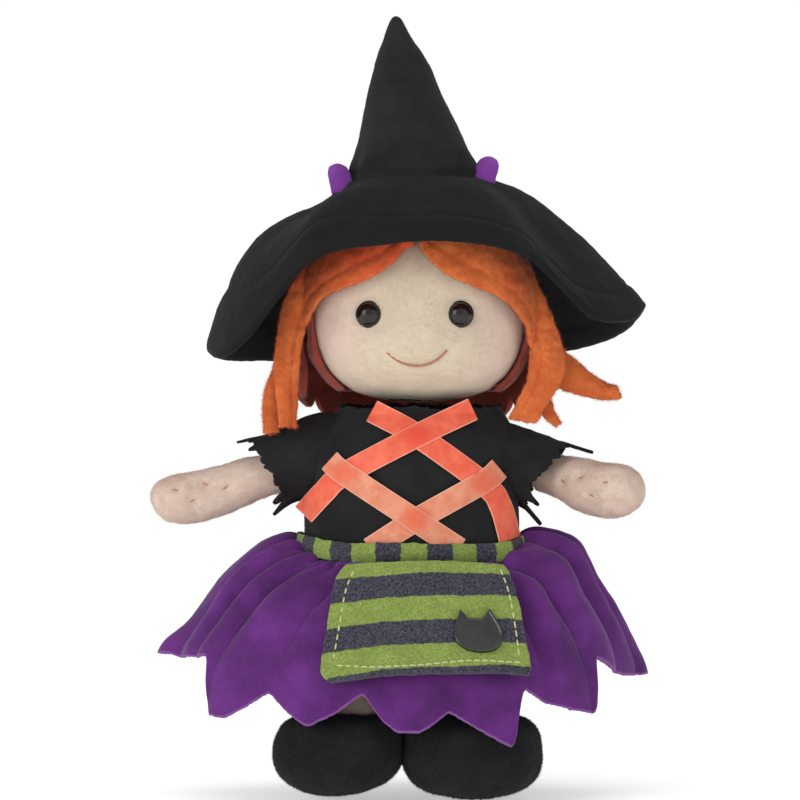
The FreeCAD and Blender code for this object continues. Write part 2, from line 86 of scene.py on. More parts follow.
# arms: name, side, forward turn, droop, length, swell
ARMS = [("left", -1, 0, 15, 48, 1.0), ("right", 1, 34, 12, 40.5, 1.08)]
CAMERA_DISTANCE = 1800
CAMERA_MIDDLE = (-4.65, 112.4)
CAMERA_SENSOR = 36
VIEW_WIDTH = 310.1                # width that the camera takes in at the puppet
WHITE = (1, 1, 1, 1)


# ---- small tools -------------------------------------------------------------------------
def linear(red, green, blue):
    """A colour picked as it looks on a screen, 0 to 255, as linear light."""
    out = []
    for value in (red, green, blue):
        value /= 255
        out.append(value / 12.92 if value <= 0.04045 else ((value + 0.055) / 1.055) ** 2.4)
    return out


def box_mm(node):
    """Lowest and highest corner of a CAD node, in millimetres."""
    low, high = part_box(node)
    return Vector(low) / MM, Vector(high) / MM


def spline(points, count):
    """count points evenly along a smooth line through the given points (Catmull-Rom)."""
    p = np.array(points, float)
    p = np.vstack([2 * p[0] - p[1], p, 2 * p[-1] - p[-2]])
    t = np.linspace(0, 1, 24, endpoint=False)[:, None]
    fine = []
    for a, b, c, d in zip(p, p[1:], p[2:], p[3:]):
        fine.append(0.5 * (2 * b + (c - a) * t + (2 * a - 5 * b + 4 * c - d) * t ** 2
                           + (3 * b - a - 3 * c + d) * t ** 3))
    fine = np.vstack(fine + [p[-2]])
    steps = np.r_[0, np.cumsum(np.linalg.norm(np.diff(fine, axis=0), axis=1))]
    at = np.linspace(0, steps[-1], count)
    return np.column_stack([np.interp(at, steps, fine[:, k]) for k in range(p.shape[1])])


def stack(*parts):
    """Arrays or numbers x, y, z as one array of points."""
    return np.stack(np.broadcast_arrays(*parts), axis=-1).astype(float)


def circle(count):
    """Directions in radians all the way round, as one row."""
    return np.linspace(0, 2 * math.pi, count, endpoint=False)[None, :]


def oval(turn, half_x, half_y, z):
    """Points round the Z axis in the directions turn."""
    return stack(half_x * np.cos(turn), half_y * np.sin(turn), z)


def unit(vectors, least=0.0):
    """Vectors scaled to a length of 1; least keeps a zero vector from dividing by zero."""
    return vectors / (np.linalg.norm(vectors, axis=1)[:, None] + least)


CORNERS = [(a, b, c) for a in (0, 1) for b in (0, 1) for c in (0, 1)]
LATTICE = np.random.default_rng(7).uniform(-1, 1, 4096)


def wobble(points, size, seed=0):
    """Smooth random values from -1 to 1 that change over about size millimetres."""
    p = np.asarray(points, float) / size + seed * 3.17
    cell = np.floor(p).astype(np.int64)
    part = p - cell
    part = part * part * (3 - 2 * part)
    total = np.zeros(p.shape[:-1])
    for corner in CORNERS:
        at = cell + np.array(corner)
        value = LATTICE[(at[..., 0] * 73856093 ^ at[..., 1] * 19349663 ^ at[..., 2] * 83492791) & 4095]
        share = np.prod(np.where(np.array(corner) == 1, part, 1 - part), axis=-1)
        total += value * share
    return total


def bell(distance, width):
    """A smooth bump, 1 at the middle and near 0 beyond width."""
    return np.exp(-(np.asarray(distance) / width) ** 2)


def new_object(name, points, faces, uvs=None):
    """A mesh object from points in millimetres."""
    mesh = bpy.data.meshes.new(name)
    mesh.from_pydata((np.asarray(points, float) * MM).tolist(), [], faces)
    if uvs is not None:
        layer = mesh.uv_layers.new(name="UVMap")
        corner = np.empty(len(mesh.loops), np.int32)
        mesh.loops.foreach_get("vertex_index", corner)
        layer.data.foreach_set("uv", np.asarray(uvs, np.float32)[corner].ravel())
    mesh.update()
    mesh.shade_smooth()
    made = bpy.data.objects.new(name, mesh)
    bpy.context.collection.objects.link(made)
    return made


def grid(name, rows, closed=False, caps=False):
    """A surface from rows of points.  closed joins each row's ends; caps close the first and last row."""
    rows = np.asarray(rows, float)
    high, wide = rows.shape[:2]
    across = np.arange(wide if closed else wide - 1)
    down = np.arange(high - 1)[:, None] * wide
    beside = (across + 1) % wide
    faces = np.stack([down + across, down + beside, down + wide + beside, down + wide + across], axis=-1)
    faces = faces.reshape(-1, 4).tolist()
    points = rows.reshape(-1, 3)
    u, v = np.meshgrid(np.arange(wide) / (wide if closed else wide - 1), np.arange(high) / (high - 1))
    uvs = np.column_stack([u.ravel(), v.ravel()])
    if caps:
        count = len(points)
        points = np.vstack([points, rows[0].mean(axis=0), rows[-1].mean(axis=0)])
        uvs = np.vstack([uvs, [0.5, 0], [0.5, 1]])
        last = (high - 1) * wide
        faces += [(count, int(b), int(a)) for a, b in zip(across, beside)]
        faces += [(count + 1, last + int(a), last + int(b)) for a, b in zip(across, beside)]
    return new_object(name, points, faces, uvs)


def settle(obj):
    """Apply the object's modifiers to its mesh."""
    graph = bpy.context.evaluated_depsgraph_get()
    mesh = bpy.data.meshes.new_from_object(obj.evaluated_get(graph), preserve_all_data_layers=True,
                                           depsgraph=graph)
    obj.modifiers.clear()
    obj.data = mesh
    obj.data.shade_smooth()
    return obj


def thicken(obj, thick, offset=0.0, rounds=1):
    """Give a sheet its thickness and round its cut edges."""
    wall = obj.modifiers.new("wall", "SOLIDIFY")
    wall.thickness = thick * MM
    wall.offset = offset
    wall.use_even_offset = False
    if rounds:
        smooth = obj.modifiers.new("smooth", "SUBSURF")
        smooth.levels = smooth.render_levels = rounds
    return settle(obj)


def places(mesh, what="co"):
    """Every vertex place (co) or normal of a mesh as an array."""
    out = np.empty(len(mesh.vertices) * 3, np.float32)
    if what == "co":
        mesh.vertices.foreach_get("co", out)
    else:
        mesh.vertex_normals.foreach_get("vector", out)
    return out.reshape(-1, 3).astype(float)


def put(mesh, co):
    """Move every vertex of a mesh to the places co."""
    mesh.vertices.foreach_set("co", co.astype(np.float32).ravel())
    mesh.update()


def push(obj, amount):
    """Move each vertex along its normal by amount(places) millimetres."""
    mesh = obj.data
    co, normal = places(mesh), places(mesh, "normal")
    co += normal * (np.asarray(amount(co / MM))[:, None] * MM)
    put(mesh, co)
    return obj


def weather(obj, coarse=0.35, fine=0.12, seed=1):
    """The small unevenness of soft cloth."""
    return push(obj, lambda p: coarse * wobble(p, 9, seed) + fine * wobble(p, 2.4, seed + 5))


SIM_SCALE = 20      # cloth is worked out this many times life size, where the solver is steady
SIM_FRAMES = 20


def stuffed(obj, voxel, pressure, most, held=None):
    """Swell a closed shell by cloth pressure.  No point moves more than most; held picks sewn-down points."""
    obj.data.transform(Matrix.Scale(SIM_SCALE, 4))
    even = obj.modifiers.new("even", "REMESH")
    even.mode = "VOXEL"
    even.voxel_size = voxel * MM * SIM_SCALE
    settle(obj)
    start = places(obj.data)
    cloth = obj.modifiers.new("cloth", "CLOTH").settings
    cloth.quality = 5
    cloth.use_pressure = True
    cloth.uniform_pressure_force = pressure
    cloth.effector_weights.gravity = 0
    cloth.bending_stiffness = 0.5
    if held:
        sewn = obj.vertex_groups.new(name="sewn")
        sewn.add([int(k) for k in np.flatnonzero(held(start / SIM_SCALE / MM))], 1.0, "REPLACE")
        cloth.vertex_group_mass = "sewn"
    for number in range(1, SIM_FRAMES + 1):
        bpy.context.scene.frame_set(number)
    settle(obj)
    moved = places(obj.data) - start
    length = np.maximum(np.linalg.norm(moved, axis=1)[:, None], 1e-9)
    co = (start + moved * np.minimum(1, most * MM * SIM_SCALE / length)) / SIM_SCALE
    put(obj.data, co)
    obj.vertex_groups.clear()
    smooth = obj.modifiers.new("smooth", "SUBSURF")
    smooth.levels = smooth.render_levels = 1
    settle(obj)
    bpy.context.scene.frame_set(1)
    return obj


def ball(name, rounds):
    """A round mesh of unit radius and the directions of its vertices."""
    bpy.ops.mesh.primitive_ico_sphere_add(subdivisions=rounds, radius=1)
    made = bpy.context.object
    made.name = made.data.name = name
    way = places(made.data)
    return made, unit(way)


def tube(name, path, radii, around=16, up=(0, 0, 1)):
    """A closed round form along a path, with a radius at each point."""
    path = np.asarray(path, float)
    along = unit(np.gradient(path, axis=0))
    side = unit(np.cross(along, up))
    over = np.cross(side, along)
    turns = circle(around)[..., None]
    r = np.asarray(radii, float)[:, None, None]
    rows = path[:, None] + side[:, None] * np.cos(turns) * r + over[:, None] * np.sin(turns) * r
    return grid(name, rows, closed=True, caps=True)


def paint(obj, material):
    """Give a piece its material."""
    obj.data.materials.clear()
    obj.data.materials.append(material)
    return obj


def dress(obj, material, slot, body, *nodes):
    """Material, slot (not used), the CAD nodes that a piece stands for, and the body that it rides on."""
    paint(obj, material)
    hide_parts(*nodes)
    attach(obj, body)


def join(name, objects):
    """Several meshes made into one piece."""
    bpy.ops.object.select_all(action="DESELECT")
    for obj in objects:
        obj.select_set(True)
    bpy.context.view_layer.objects.active = objects[0]
    bpy.ops.object.join()
    objects[0].name = name
    return objects[0]


def stitches(name, paths, radius, up):
    """Short stitches of thread as one piece; up is one direction, or one for each stitch."""
    ups = up if isinstance(up, list) else [up] * len(paths)
    made = [tube("stitch", path, [radius] * len(path), around=8, up=over) for path, over in zip(paths, ups)]
    return join(name, made)


def pile(skin, body, count, length, width, material, seed, lift=0.45, where=None):
    """Fibres matted over a surface: thin leaning blades, shaded with the surface's own normal."""
    mesh = skin.data
    mesh.calc_loop_triangles()
    triangles = np.empty(len(mesh.loop_triangles) * 3, np.int32)
    mesh.loop_triangles.foreach_get("vertices", triangles)
    triangles = triangles.reshape(-1, 3)
    corners, normals = places(mesh), places(mesh, "normal")
    if where is not None:
        triangles = triangles[where(corners[triangles].mean(axis=1) / MM)]
    a, b, c = (corners[triangles[:, k]] for k in range(3))
    areas = np.linalg.norm(np.cross(b - a, c - a), axis=1)
    rng = np.random.default_rng(seed)
    pick = rng.choice(len(triangles), count, p=areas / areas.sum())
    share = rng.dirichlet((1, 1, 1), count)
    root = sum(corners[triangles[pick, k]] * share[:, k, None] for k in range(3))
    normal = sum(normals[triangles[pick, k]] * share[:, k, None] for k in range(3))
    normal = unit(normal, 1e-12)
    along = unit(np.cross(normal, rng.normal(size=(count, 3))), 1e-12)
    rise = rng.uniform(0.3, 1.2, (count, 1)) * lift
    grow = unit(along + normal * rise)
    side = unit(np.cross(grow, normal), 1e-12)
    tall = length * MM * rng.uniform(0.5, 1.25, (count, 1))
    half = width * MM / 2
    points = np.empty((count, 3, 3))
    points[:, 0] = root + side * half
    points[:, 1] = root - side * half
    points[:, 2] = root + grow * tall
    facing = np.cross(points[:, 1] - points[:, 0], points[:, 2] - points[:, 0])
    flip = np.einsum("ij,ij->i", facing, normal) < 0
    points[flip, 0], points[flip, 1] = points[flip, 1].copy(), points[flip, 0].copy()
    fuzz = bpy.data.meshes.new(skin.name + "_pile")
    fuzz.vertices.add(count * 3)
    fuzz.vertices.foreach_set("co", points.astype(np.float32).ravel())
    fuzz.loops.add(count * 3)
    fuzz.loops.foreach_set("vertex_index", np.arange(count * 3, dtype=np.int32))
    fuzz.polygons.add(count)
    fuzz.polygons.foreach_set("loop_start", np.arange(0, count * 3, 3, dtype=np.int32))
    fuzz.update(calc_edges=True)
    fuzz.shade_smooth()
    fuzz.normals_split_custom_set_from_vertices(np.repeat(normal, 3, axis=0).tolist())
    fuzz.materials.append(material)
    made = bpy.data.objects.new(skin.name + "_pile", fuzz)
    bpy.context.collection.objects.link(made)
    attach(made, body)


# ---- materials ---------------------------------------------------------------------------
class Nodes:
    """A short way to write a material's nodes."""

    def __init__(self, name, rough=0.95, sheen=0.0, specular=0.25, coat=0.0):
        self.material = bpy.data.materials.new(name)
        self.material.use_nodes = True
        self.tree = self.material.node_tree
        self.shader = self.tree.nodes["Principled BSDF"]
        look = {"Roughness": rough, "Sheen Weight": sheen, "Sheen Roughness": 0.4,
                "Specular IOR Level": specular, "Coat Weight": coat}
        for socket, value in look.items():
            self.shader.inputs[socket].default_value = value
        self.place = self.tree.nodes.new("ShaderNodeTexCoord").outputs["Object"]

    def add(self, kind, **values):
        node = self.tree.nodes.new(kind)
        for key, value in values.items():
            setattr(node, key, value)
        return node

    def link(self, source, target):
        self.tree.links.new(source, target)

    def feed(self, socket, value):
        """Link a socket to another, or set it to a number or a colour."""
        if isinstance(value, bpy.types.NodeSocket):
            self.link(value, socket)
        elif isinstance(value, (int, float)):
            socket.default_value = value
        else:
            socket.default_value = (*value, 1)

    def split(self, source):
        """The three parts of a place."""
        node = self.add("ShaderNodeSeparateXYZ")
        self.link(source, node.inputs[0])
        return node.outputs

    def uv(self):
        """U and V of the piece's own map."""
        return self.split(self.add("ShaderNodeUVMap", uv_map="UVMap").outputs["UV"])

    def noise(self, size_mm, detail=3.0, rough=0.55, stretch=None, distort=0.0):
        """Noise with features of about size_mm."""
        node = self.add("ShaderNodeTexNoise")
        node.inputs["Scale"].default_value = 1000 / size_mm
        node.inputs["Detail"].default_value = detail
        node.inputs["Roughness"].default_value = rough
        node.inputs["Distortion"].default_value = distort
        source = self.place
        if stretch:
            scale = self.add("ShaderNodeVectorMath", operation="MULTIPLY")
            scale.inputs[1].default_value = stretch
            self.link(source, scale.inputs[0])
            source = scale.outputs[0]
        self.link(source, node.inputs["Vector"])
        return node.outputs["Fac"]

    def ramp(self, value, low, high, first=(0, 0, 0), last=(1, 1, 1)):
        """A value stretched between two colours."""
        node = self.add("ShaderNodeValToRGB")
        node.color_ramp.elements[0].position = low
        node.color_ramp.elements[1].position = high
        node.color_ramp.elements[0].color = (*first, 1)
        node.color_ramp.elements[1].color = (*last, 1)
        self.link(value, node.inputs["Fac"])
        return node.outputs["Color"]

    def mix(self, factor, first, last, blend="MIX"):
        """Two colours mixed; each is a socket or a colour."""
        node = self.add("ShaderNodeMix", data_type="RGBA", blend_type=blend)
        for socket, value in (("Factor", factor), (6, first), (7, last)):
            self.feed(node.inputs[socket], value)
        return node.outputs[2]

    def math(self, operation, first, second=0.0):
        """Arithmetic on two values; each is a socket or a number."""
        node = self.add("ShaderNodeMath", operation=operation)
        for socket, value in zip(node.inputs, (first, second)):
            self.feed(socket, value)
        return node.outputs[0]

    def finish(self, colour, height=None, depth_mm=0.2, strength=0.6):
        """Colour and bump into the shader."""
        self.link(colour, self.shader.inputs["Base Color"])
        if height is not None:
            bump = self.add("ShaderNodeBump")
            bump.inputs["Strength"].default_value = strength
            bump.inputs["Distance"].default_value = depth_mm * MM
            self.link(height, bump.inputs["Height"])
            self.link(bump.outputs["Normal"], self.shader.inputs["Normal"])
        return self.material


def fuzzy(name, colour, shade, fleck, fleck_amount=0.3, cloud_mm=14, grain_mm=0.9, sheen=0.2,
          depth_mm=0.25, strength=0.6, painted_side_light=None, crown=None, hem=None):
    """Felt or plush: clouded colour, small flecks, and a matted fibre surface.
    painted_side_light is painted light: the colour it turns toward the sides, lighter and pinker; crown =
    (colour, from, to) is painted shade, a colour mixed in by height; hem is the colour of its cut edge."""
    m = Nodes(name, sheen=sheen)
    colour, shade, fleck = linear(*colour), linear(*shade), linear(*fleck)
    clouds = m.ramp(m.noise(cloud_mm, 4), 0.35, 0.68)
    base = m.mix(clouds, shade, colour)
    # painted shade: from the lower height up the colour turns toward the shade colour, fully so at the upper
    # height
    if crown:
        brim_shadow_colour, low_mm, high_mm = crown
        height = m.math("SUBTRACT", m.split(m.place)[2], low_mm * MM)
        rise = m.math("DIVIDE", height, (high_mm - low_mm) * MM)
        base = m.mix(m.ramp(rise, 0, 1), base, linear(*brim_shadow_colour))
    # painted light: toward the sides of the piece the colour turns lighter and pinker
    if painted_side_light:
        aside = m.math("ABSOLUTE", m.math("SUBTRACT", m.split(m.place)[0], 3 * MM))
        base = m.mix(m.ramp(m.math("MULTIPLY", aside, 1 / (42 * MM)), 0.35, 0.95), base, linear(*painted_side_light))
    if hem:
        base = m.mix(m.ramp(m.uv()[1], 0.988, 0.994), base, linear(*hem))
    flecks = m.ramp(m.noise(grain_mm * 0.9, 2, 0.7), 0.56, 0.72)
    base = m.mix(m.math("MULTIPLY", flecks, fleck_amount), base, fleck)
    fibres = m.noise(grain_mm, 5, 0.7, distort=1.5)
    lumps = m.noise(grain_mm * 5, 2)
    height = m.math("ADD", fibres, m.math("MULTIPLY", lumps, 0.7))
    return m.finish(base, height, depth_mm, strength)


def stripe_felt(name, axis, period, start, tilt=0.0):
    """Green and grey striped felt.  axis is U or V of the UV map; tilt slants the stripes."""
    m = Nodes(name, sheen=0.2)
    uv = m.uv()
    along = uv["UV".index(axis)]
    if tilt:
        along = m.math("ADD", along, m.math("MULTIPLY", uv[0], tilt))
    waver = m.math("MULTIPLY", m.math("SUBTRACT", m.noise(2.2, 4, 0.7), 0.5), 0.22 * period)
    along = m.math("ADD", along, waver)
    part = m.math("FRACT", m.math("DIVIDE", m.math("SUBTRACT", along, start), 2 * period))
    edge = m.ramp(m.math("ABSOLUTE", m.math("SUBTRACT", part, 0.5)), 0.238, 0.262)
    speckle = m.ramp(m.noise(0.8, 3, 0.8), 0.40, 0.66)
    dots = m.ramp(m.noise(0.55, 2, 0.8), 0.62, 0.72)
    grey = m.mix(speckle, linear(34, 34, 44), linear(88, 86, 100))
    grey = m.mix(m.math("MULTIPLY", dots, 0.7), grey, linear(150, 148, 160))
    green = m.mix(speckle, linear(120, 140, 62), linear(162, 182, 98))
    clouds = m.ramp(m.noise(9, 3), 0.3, 0.7)
    green = m.mix(m.math("MULTIPLY", clouds, 0.4), green, linear(112, 130, 60))
    height = m.math("ADD", m.noise(0.9, 5, 0.7, distort=1.5), m.noise(4, 2))
    return m.finish(m.mix(edge, grey, green), height, 0.35, 0.8)


def satin(name, colour, deep, doubled):
    """Satin ribbon: fine cross threads, a soft gloss, pale woven edges, deeper where two layers cross."""
    m = Nodes(name, rough=0.5, sheen=0.1, specular=0.35)
    colour, deep, doubled = linear(*colour), linear(*deep), linear(*doubled)
    across = m.math("ABSOLUTE", m.math("SUBTRACT", m.uv()[0], 0.5))
    selvedge = m.ramp(across, 0.44, 0.48)
    threads = m.noise(0.5, 2, 0.6)
    clouds = m.ramp(m.noise(5, 4, 0.65), 0.35, 0.65)
    base = m.mix(clouds, deep, colour)
    layers = m.add("ShaderNodeAttribute", attribute_name="layers").outputs["Fac"]
    base = m.mix(m.math("MULTIPLY", layers, 0.75), base, doubled)
    base = m.mix(m.math("MULTIPLY", selvedge, 0.55), base, linear(250, 200, 176))
    height = m.math("ADD", threads, m.math("MULTIPLY", selvedge, 0.8))
    return m.finish(base, height, 0.12, 0.35)


def woven(name, colour, shade):
    """Plain woven lining cloth with crossing threads."""
    m = Nodes(name, rough=0.85, sheen=0.1)
    waves = []
    for direction in ("X", "Z"):
        wave = m.add("ShaderNodeTexWave", bands_direction=direction)
        wave.inputs["Scale"].default_value = 700
        wave.inputs["Distortion"].default_value = 1.5
        m.link(m.place, wave.inputs["Vector"])
        waves.append(wave.outputs["Fac"])
    weave = m.math("MAXIMUM", waves[0], waves[1])
    clouds = m.ramp(m.noise(12, 3), 0.3, 0.7)
    return m.finish(m.mix(clouds, linear(*shade), linear(*colour)), weave, 0.15, 0.6)


def thread(name, colour, shade):
    """Twisted embroidery thread."""
    m = Nodes(name, rough=0.6, sheen=0.3)
    strands = m.noise(0.35, 2, stretch=(1, 1, 3))
    return m.finish(m.mix(strands, linear(*shade), linear(*colour)), strands, 0.1, 0.8)


def gloss(name, colour, shade, rough=0.06, specular=0.35, coat=0.2):
    """Polished moulded plastic with faint handling marks."""
    m = Nodes(name, rough=rough, specular=specular, coat=coat)
    marks = m.noise(3, 4, 0.6)
    m.link(m.ramp(marks, 0.3, 0.8, (rough,) * 3, (rough + 0.12,) * 3), m.shader.inputs["Roughness"])
    return m.finish(m.mix(m.ramp(marks, 0.4, 0.7), linear(*shade), linear(*colour)), marks, 0.02, 0.1)


# the cream plush and its pile have painted light: lighter and pinker toward the sides of the face
CREAM = fuzzy("cream plush", (222, 206, 182), (208, 191, 166), (238, 226, 208),
              0.35, cloud_mm=22, grain_mm=1.0, sheen=0.15, depth_mm=0.22, strength=0.5,
              painted_side_light=(236, 210, 196))
CREAM_PILE = fuzzy("cream pile", (226, 211, 190), (210, 194, 172), (242, 231, 216),
                   0.3, cloud_mm=8, sheen=0.1, strength=0.1, painted_side_light=(230, 206, 192))
ARM_PLUSH = fuzzy("arm plush", (228, 208, 192), (208, 178, 162), (242, 228, 214),
                  0.35, cloud_mm=12, grain_mm=1.1, sheen=0.15, depth_mm=0.3, strength=0.5)
ARM_PILE = fuzzy("arm pile", (234, 216, 202), (214, 186, 170), (246, 236, 226),
                 0.3, cloud_mm=7, sheen=0.1, strength=0.1)
BLACK_FELT = fuzzy("black felt", (36, 36, 36), (26, 26, 27), (66, 66, 66),
                   0.22, grain_mm=0.8, sheen=0.03, depth_mm=0.25)
# a darker copy of the black felt: painted shade on the drooping brim
BRIM_FELT_SHADED = fuzzy("brim felt in painted shade", (23, 23, 23), (17, 17, 18), (46, 46, 46),
                  0.22, grain_mm=0.8, sheen=0.02, depth_mm=0.25)
BLACK_PILE = fuzzy("black pile", (40, 40, 40), (28, 28, 28), (70, 70, 70), 0.3, sheen=0.02)
LOOP_FELT = fuzzy("loop felt", (138, 68, 164), (108, 50, 132), (156, 96, 176),
               0.25, cloud_mm=18, grain_mm=0.8, sheen=0.15, depth_mm=0.18)
SKIRT_FELT = fuzzy("skirt felt", (106, 46, 128), (76, 32, 94), (126, 72, 146),
                   0.25, cloud_mm=18, grain_mm=0.8, sheen=0.15, depth_mm=0.18, hem=(134, 80, 150))
PURPLE_PILE = fuzzy("purple pile", (110, 54, 132), (86, 40, 104), (150, 104, 164), 0.3,
                    sheen=0.1)
# the second fleece has the hat brim's shadow painted over its top: darker and redder from height 148, fully
# so from 166 up
ORANGE, ORANGE_BRIM_SHADOW = (fuzzy(name, (230, 124, 64), (208, 96, 48), (242, 158, 102), 0.4, cloud_mm=11,
                            grain_mm=1.2, sheen=0.15, depth_mm=0.4, strength=0.8, crown=crown)
                      for name, crown in (("orange fleece", None),
                                          ("orange fleece with painted brim shadow", ((216, 80, 46), 148, 166))))
ORANGE_PILE = fuzzy("orange pile", (224, 128, 72), (196, 94, 50), (240, 166, 112), 0.3,
                    cloud_mm=9, sheen=0.1)
# a darker, maroon copy of the orange fleece: painted shade for the cap and back hair behind the face and
# locks
ORANGE_IN_SHADE = fuzzy("orange fleece in painted shade", (170, 84, 68), (132, 58, 52),
                    (176, 92, 70), 0.3, cloud_mm=14, grain_mm=1.1, sheen=0.15, depth_mm=0.35)
BEIGE = fuzzy("beige plush", (160, 146, 132), (130, 116, 106), (186, 174, 162), 0.35)
BOOT = fuzzy("black plush", (34, 34, 34), (24, 24, 24), (62, 62, 62), 0.3,
             grain_mm=1.4, sheen=0.04, depth_mm=0.4, strength=0.8)
LINING = woven("lining cloth", (46, 42, 50), (34, 31, 38))
APRON_FELT = stripe_felt("striped felt across", "V", 0.208, 0.036, tilt=0.045)
BELT_FELT = stripe_felt("striped felt upright", "U", 1 / 28, 0.7526)
STRIPE_PILE = fuzzy("striped pile", (130, 140, 96), (70, 70, 80), (170, 176, 140), 0.3,
                    cloud_mm=3, sheen=0.1)
SATIN_DARK = satin("satin ribbon dark", (240, 114, 84), (230, 92, 66), (228, 70, 48))
SATIN_PALE = satin("satin ribbon pale", (228, 152, 122), (216, 124, 92), (224, 94, 60))
ROSE_THREAD = thread("rose thread", (196, 130, 112), (164, 98, 84))
YELLOW_THREAD = thread("yellow thread", (216, 218, 164), (184, 186, 124))
EYE_GLOSS = gloss("eye plastic", (16, 13, 13), (34, 24, 22), specular=0.45, coat=0.0)
WASHER = gloss("washer plastic", (220, 220, 216), (200, 200, 196), rough=0.4)
BADGE = gloss("badge", (26, 27, 26), (18, 19, 18), rough=0.2, specular=0.6, coat=0.4)


# ---- head ----------------------------------------------------------------------------------
head_box = box_mm("head_skin")
HEAD_HALF = ((head_box[1].x - head_box[0].x) / 2, (head_box[1].y - head_box[0].y) / 2)
HEAD_HEIGHT = head_box[1].z - head_box[0].z
HEAD_LOW = HEAD_HEIGHT * HEAD_LOW_SHARE
HEAD_HIGH = HEAD_HEIGHT - HEAD_LOW
HEAD = np.array([(head_box[0].x + head_box[1].x) / 2, 0, head_box[0].z + HEAD_LOW])


def head_y(x, z, grow=0.0, edge=0.0):
    """Y of the front of the head.  Beyond its outline the surface turns back at edge."""
    x, z = np.asarray(x, float), np.asarray(z, float)
    up = np.minimum(1, np.abs(z - HEAD[2]) / (np.where(z > HEAD[2], HEAD_HIGH, HEAD_LOW) + grow))
    ring = (1 - up ** HEAD_POWER) ** (2 / HEAD_POWER)
    across = (x - HEAD[0]) / (HEAD_HALF[0] + grow)
    open_part = np.maximum(0, ring - across ** 2)
    return -np.sqrt((HEAD_HALF[1] + grow) ** 2 * open_part + edge ** 2)


def egg(way, half, low, high, power):
    """Places on a plump closed shape for unit directions: a superellipse turned about Z and stretched."""
    flat = np.hypot(way[:, 0], way[:, 1])
    share = flat ** (2 / power) / np.maximum(flat, 1e-9)
    up = np.sign(way[:, 2]) * np.abs(way[:, 2]) ** (2 / power) * np.where(way[:, 2] > 0, high, low)
    return stack(way[:, 0] * share * half[0], way[:, 1] * share * half[1], up)


def head_form(p):
    """How far the face stands from its plain shape: eye and mouth dimples, cheeks and soft lumps."""
    out = 0.45 * wobble(p, 20, 3) + 0.22 * wobble(p, 6, 8)
    front = p[:, 1] < 0
    for _, x, z, radius in EYES:
        out -= front * 1.5 * bell(np.hypot(p[:, 0] - x, p[:, 2] - z), radius * 1.5)
    near = np.min([np.hypot(p[:, 0] - x, p[:, 2] - z) for x, z in spline(SMILE, 20)], axis=0)
    out -= front * 0.8 * bell(near, 2.5)
    out -= front * 0.35 * bell(np.hypot(p[:, 0] + 0.4, p[:, 2] - 146), 2.5)
    for x in (-18, 24):
        out += front * 0.9 * bell(np.hypot(p[:, 0] - x, (p[:, 2] - 128) * 1.2), 14)
    return out


def head():
    """Plush head with its pile."""
    made, way = ball("head_plush", 7)
    put(made.data, (egg(way, HEAD_HALF, HEAD_LOW, HEAD_HIGH, HEAD_POWER) + HEAD) * MM)

    def sewn(p):
        near = np.min([np.hypot(p[:, 0] - x, p[:, 2] - z) for _, x, z, _ in EYES], axis=0)
        return ((near < 4) & (p[:, 1] < 0)) | (p[:, 2] < head_box[0].z + 4)
    stuffed(made, 2.2, 8, 0.7, sewn)
    push(made, head_form)
    dress(made, CREAM, "cream_plush", "head", "head_skin", "head_stuffing")

    def bare(p):
        shown = p[:, 2] < 176
        for _, x, z, radius in EYES:
            shown &= (p[:, 1] > 0) | (np.hypot(p[:, 0] - x, p[:, 2] - z) > radius)
        return shown
    pile(made, "head", 90000, 1.0, 0.13, CREAM_PILE, 11, where=bare)


def lathe(middle, profile, around):
    """A round form about the Y axis from (radius, depth) points."""
    turns = circle(around)
    r, depth = profile[:, 0, None], profile[:, 1, None]
    return stack(middle[0] + r * np.cos(turns), middle[1] + depth, middle[2] + r * np.sin(turns))


# outline of an eye as (radius, depth) from the middle of its dome, for an eye of EYE_RADIUS
EYE_RADIUS = 5.1
EYE_PROFILE = [(0.01, -3.9), (1.6, -3.7), (3.0, -3.0), (4.0, -2.0), (4.5, -1.1), (4.55, -0.75),
               (5.0, -0.55), (5.15, 0.1), (5.0, 0.9), (4.2, 1.2), (0.01, 1.3)]


def eyes():
    """Domed glossy eyes, each with a flat rim against the plush, and the washers behind them."""
    for side, x, z, radius in EYES:
        y = float(head_y(x, z)) + 1.1
        shape = spline(EYE_PROFILE, 40) * (radius / EYE_RADIUS, 1)
        eye = grid("eye_dome_" + side, lathe((x, y, z), shape, 56), closed=True)
        eye.data.flip_normals()
        dress(eye, EYE_GLOSS, "black_gloss", "head", "eye_" + side)
        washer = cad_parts["eye_washer_" + side]
        washer.data.materials.clear()
        washer.data.materials.append(WASHER)


def smile():
    """Backstitched smile."""
    line = spline(SMILE, 12)
    paths = []
    for (x0, z0), (x1, z1) in zip(line, line[1:]):
        t = np.linspace(-0.06, 1.06, 7)
        x, z = x0 + (x1 - x0) * t, z0 + (z1 - z0) * t
        y = head_y(x, z) + 0.15 - 0.5 * np.sin(math.pi * np.clip(t, 0, 1))
        paths.append(stack(x, y, z))
    mouth = stitches("smile_thread", paths, 0.38, (0, 1, 0))
    dress(mouth, ROSE_THREAD, "rose_thread", "head", "mouth_stitching")


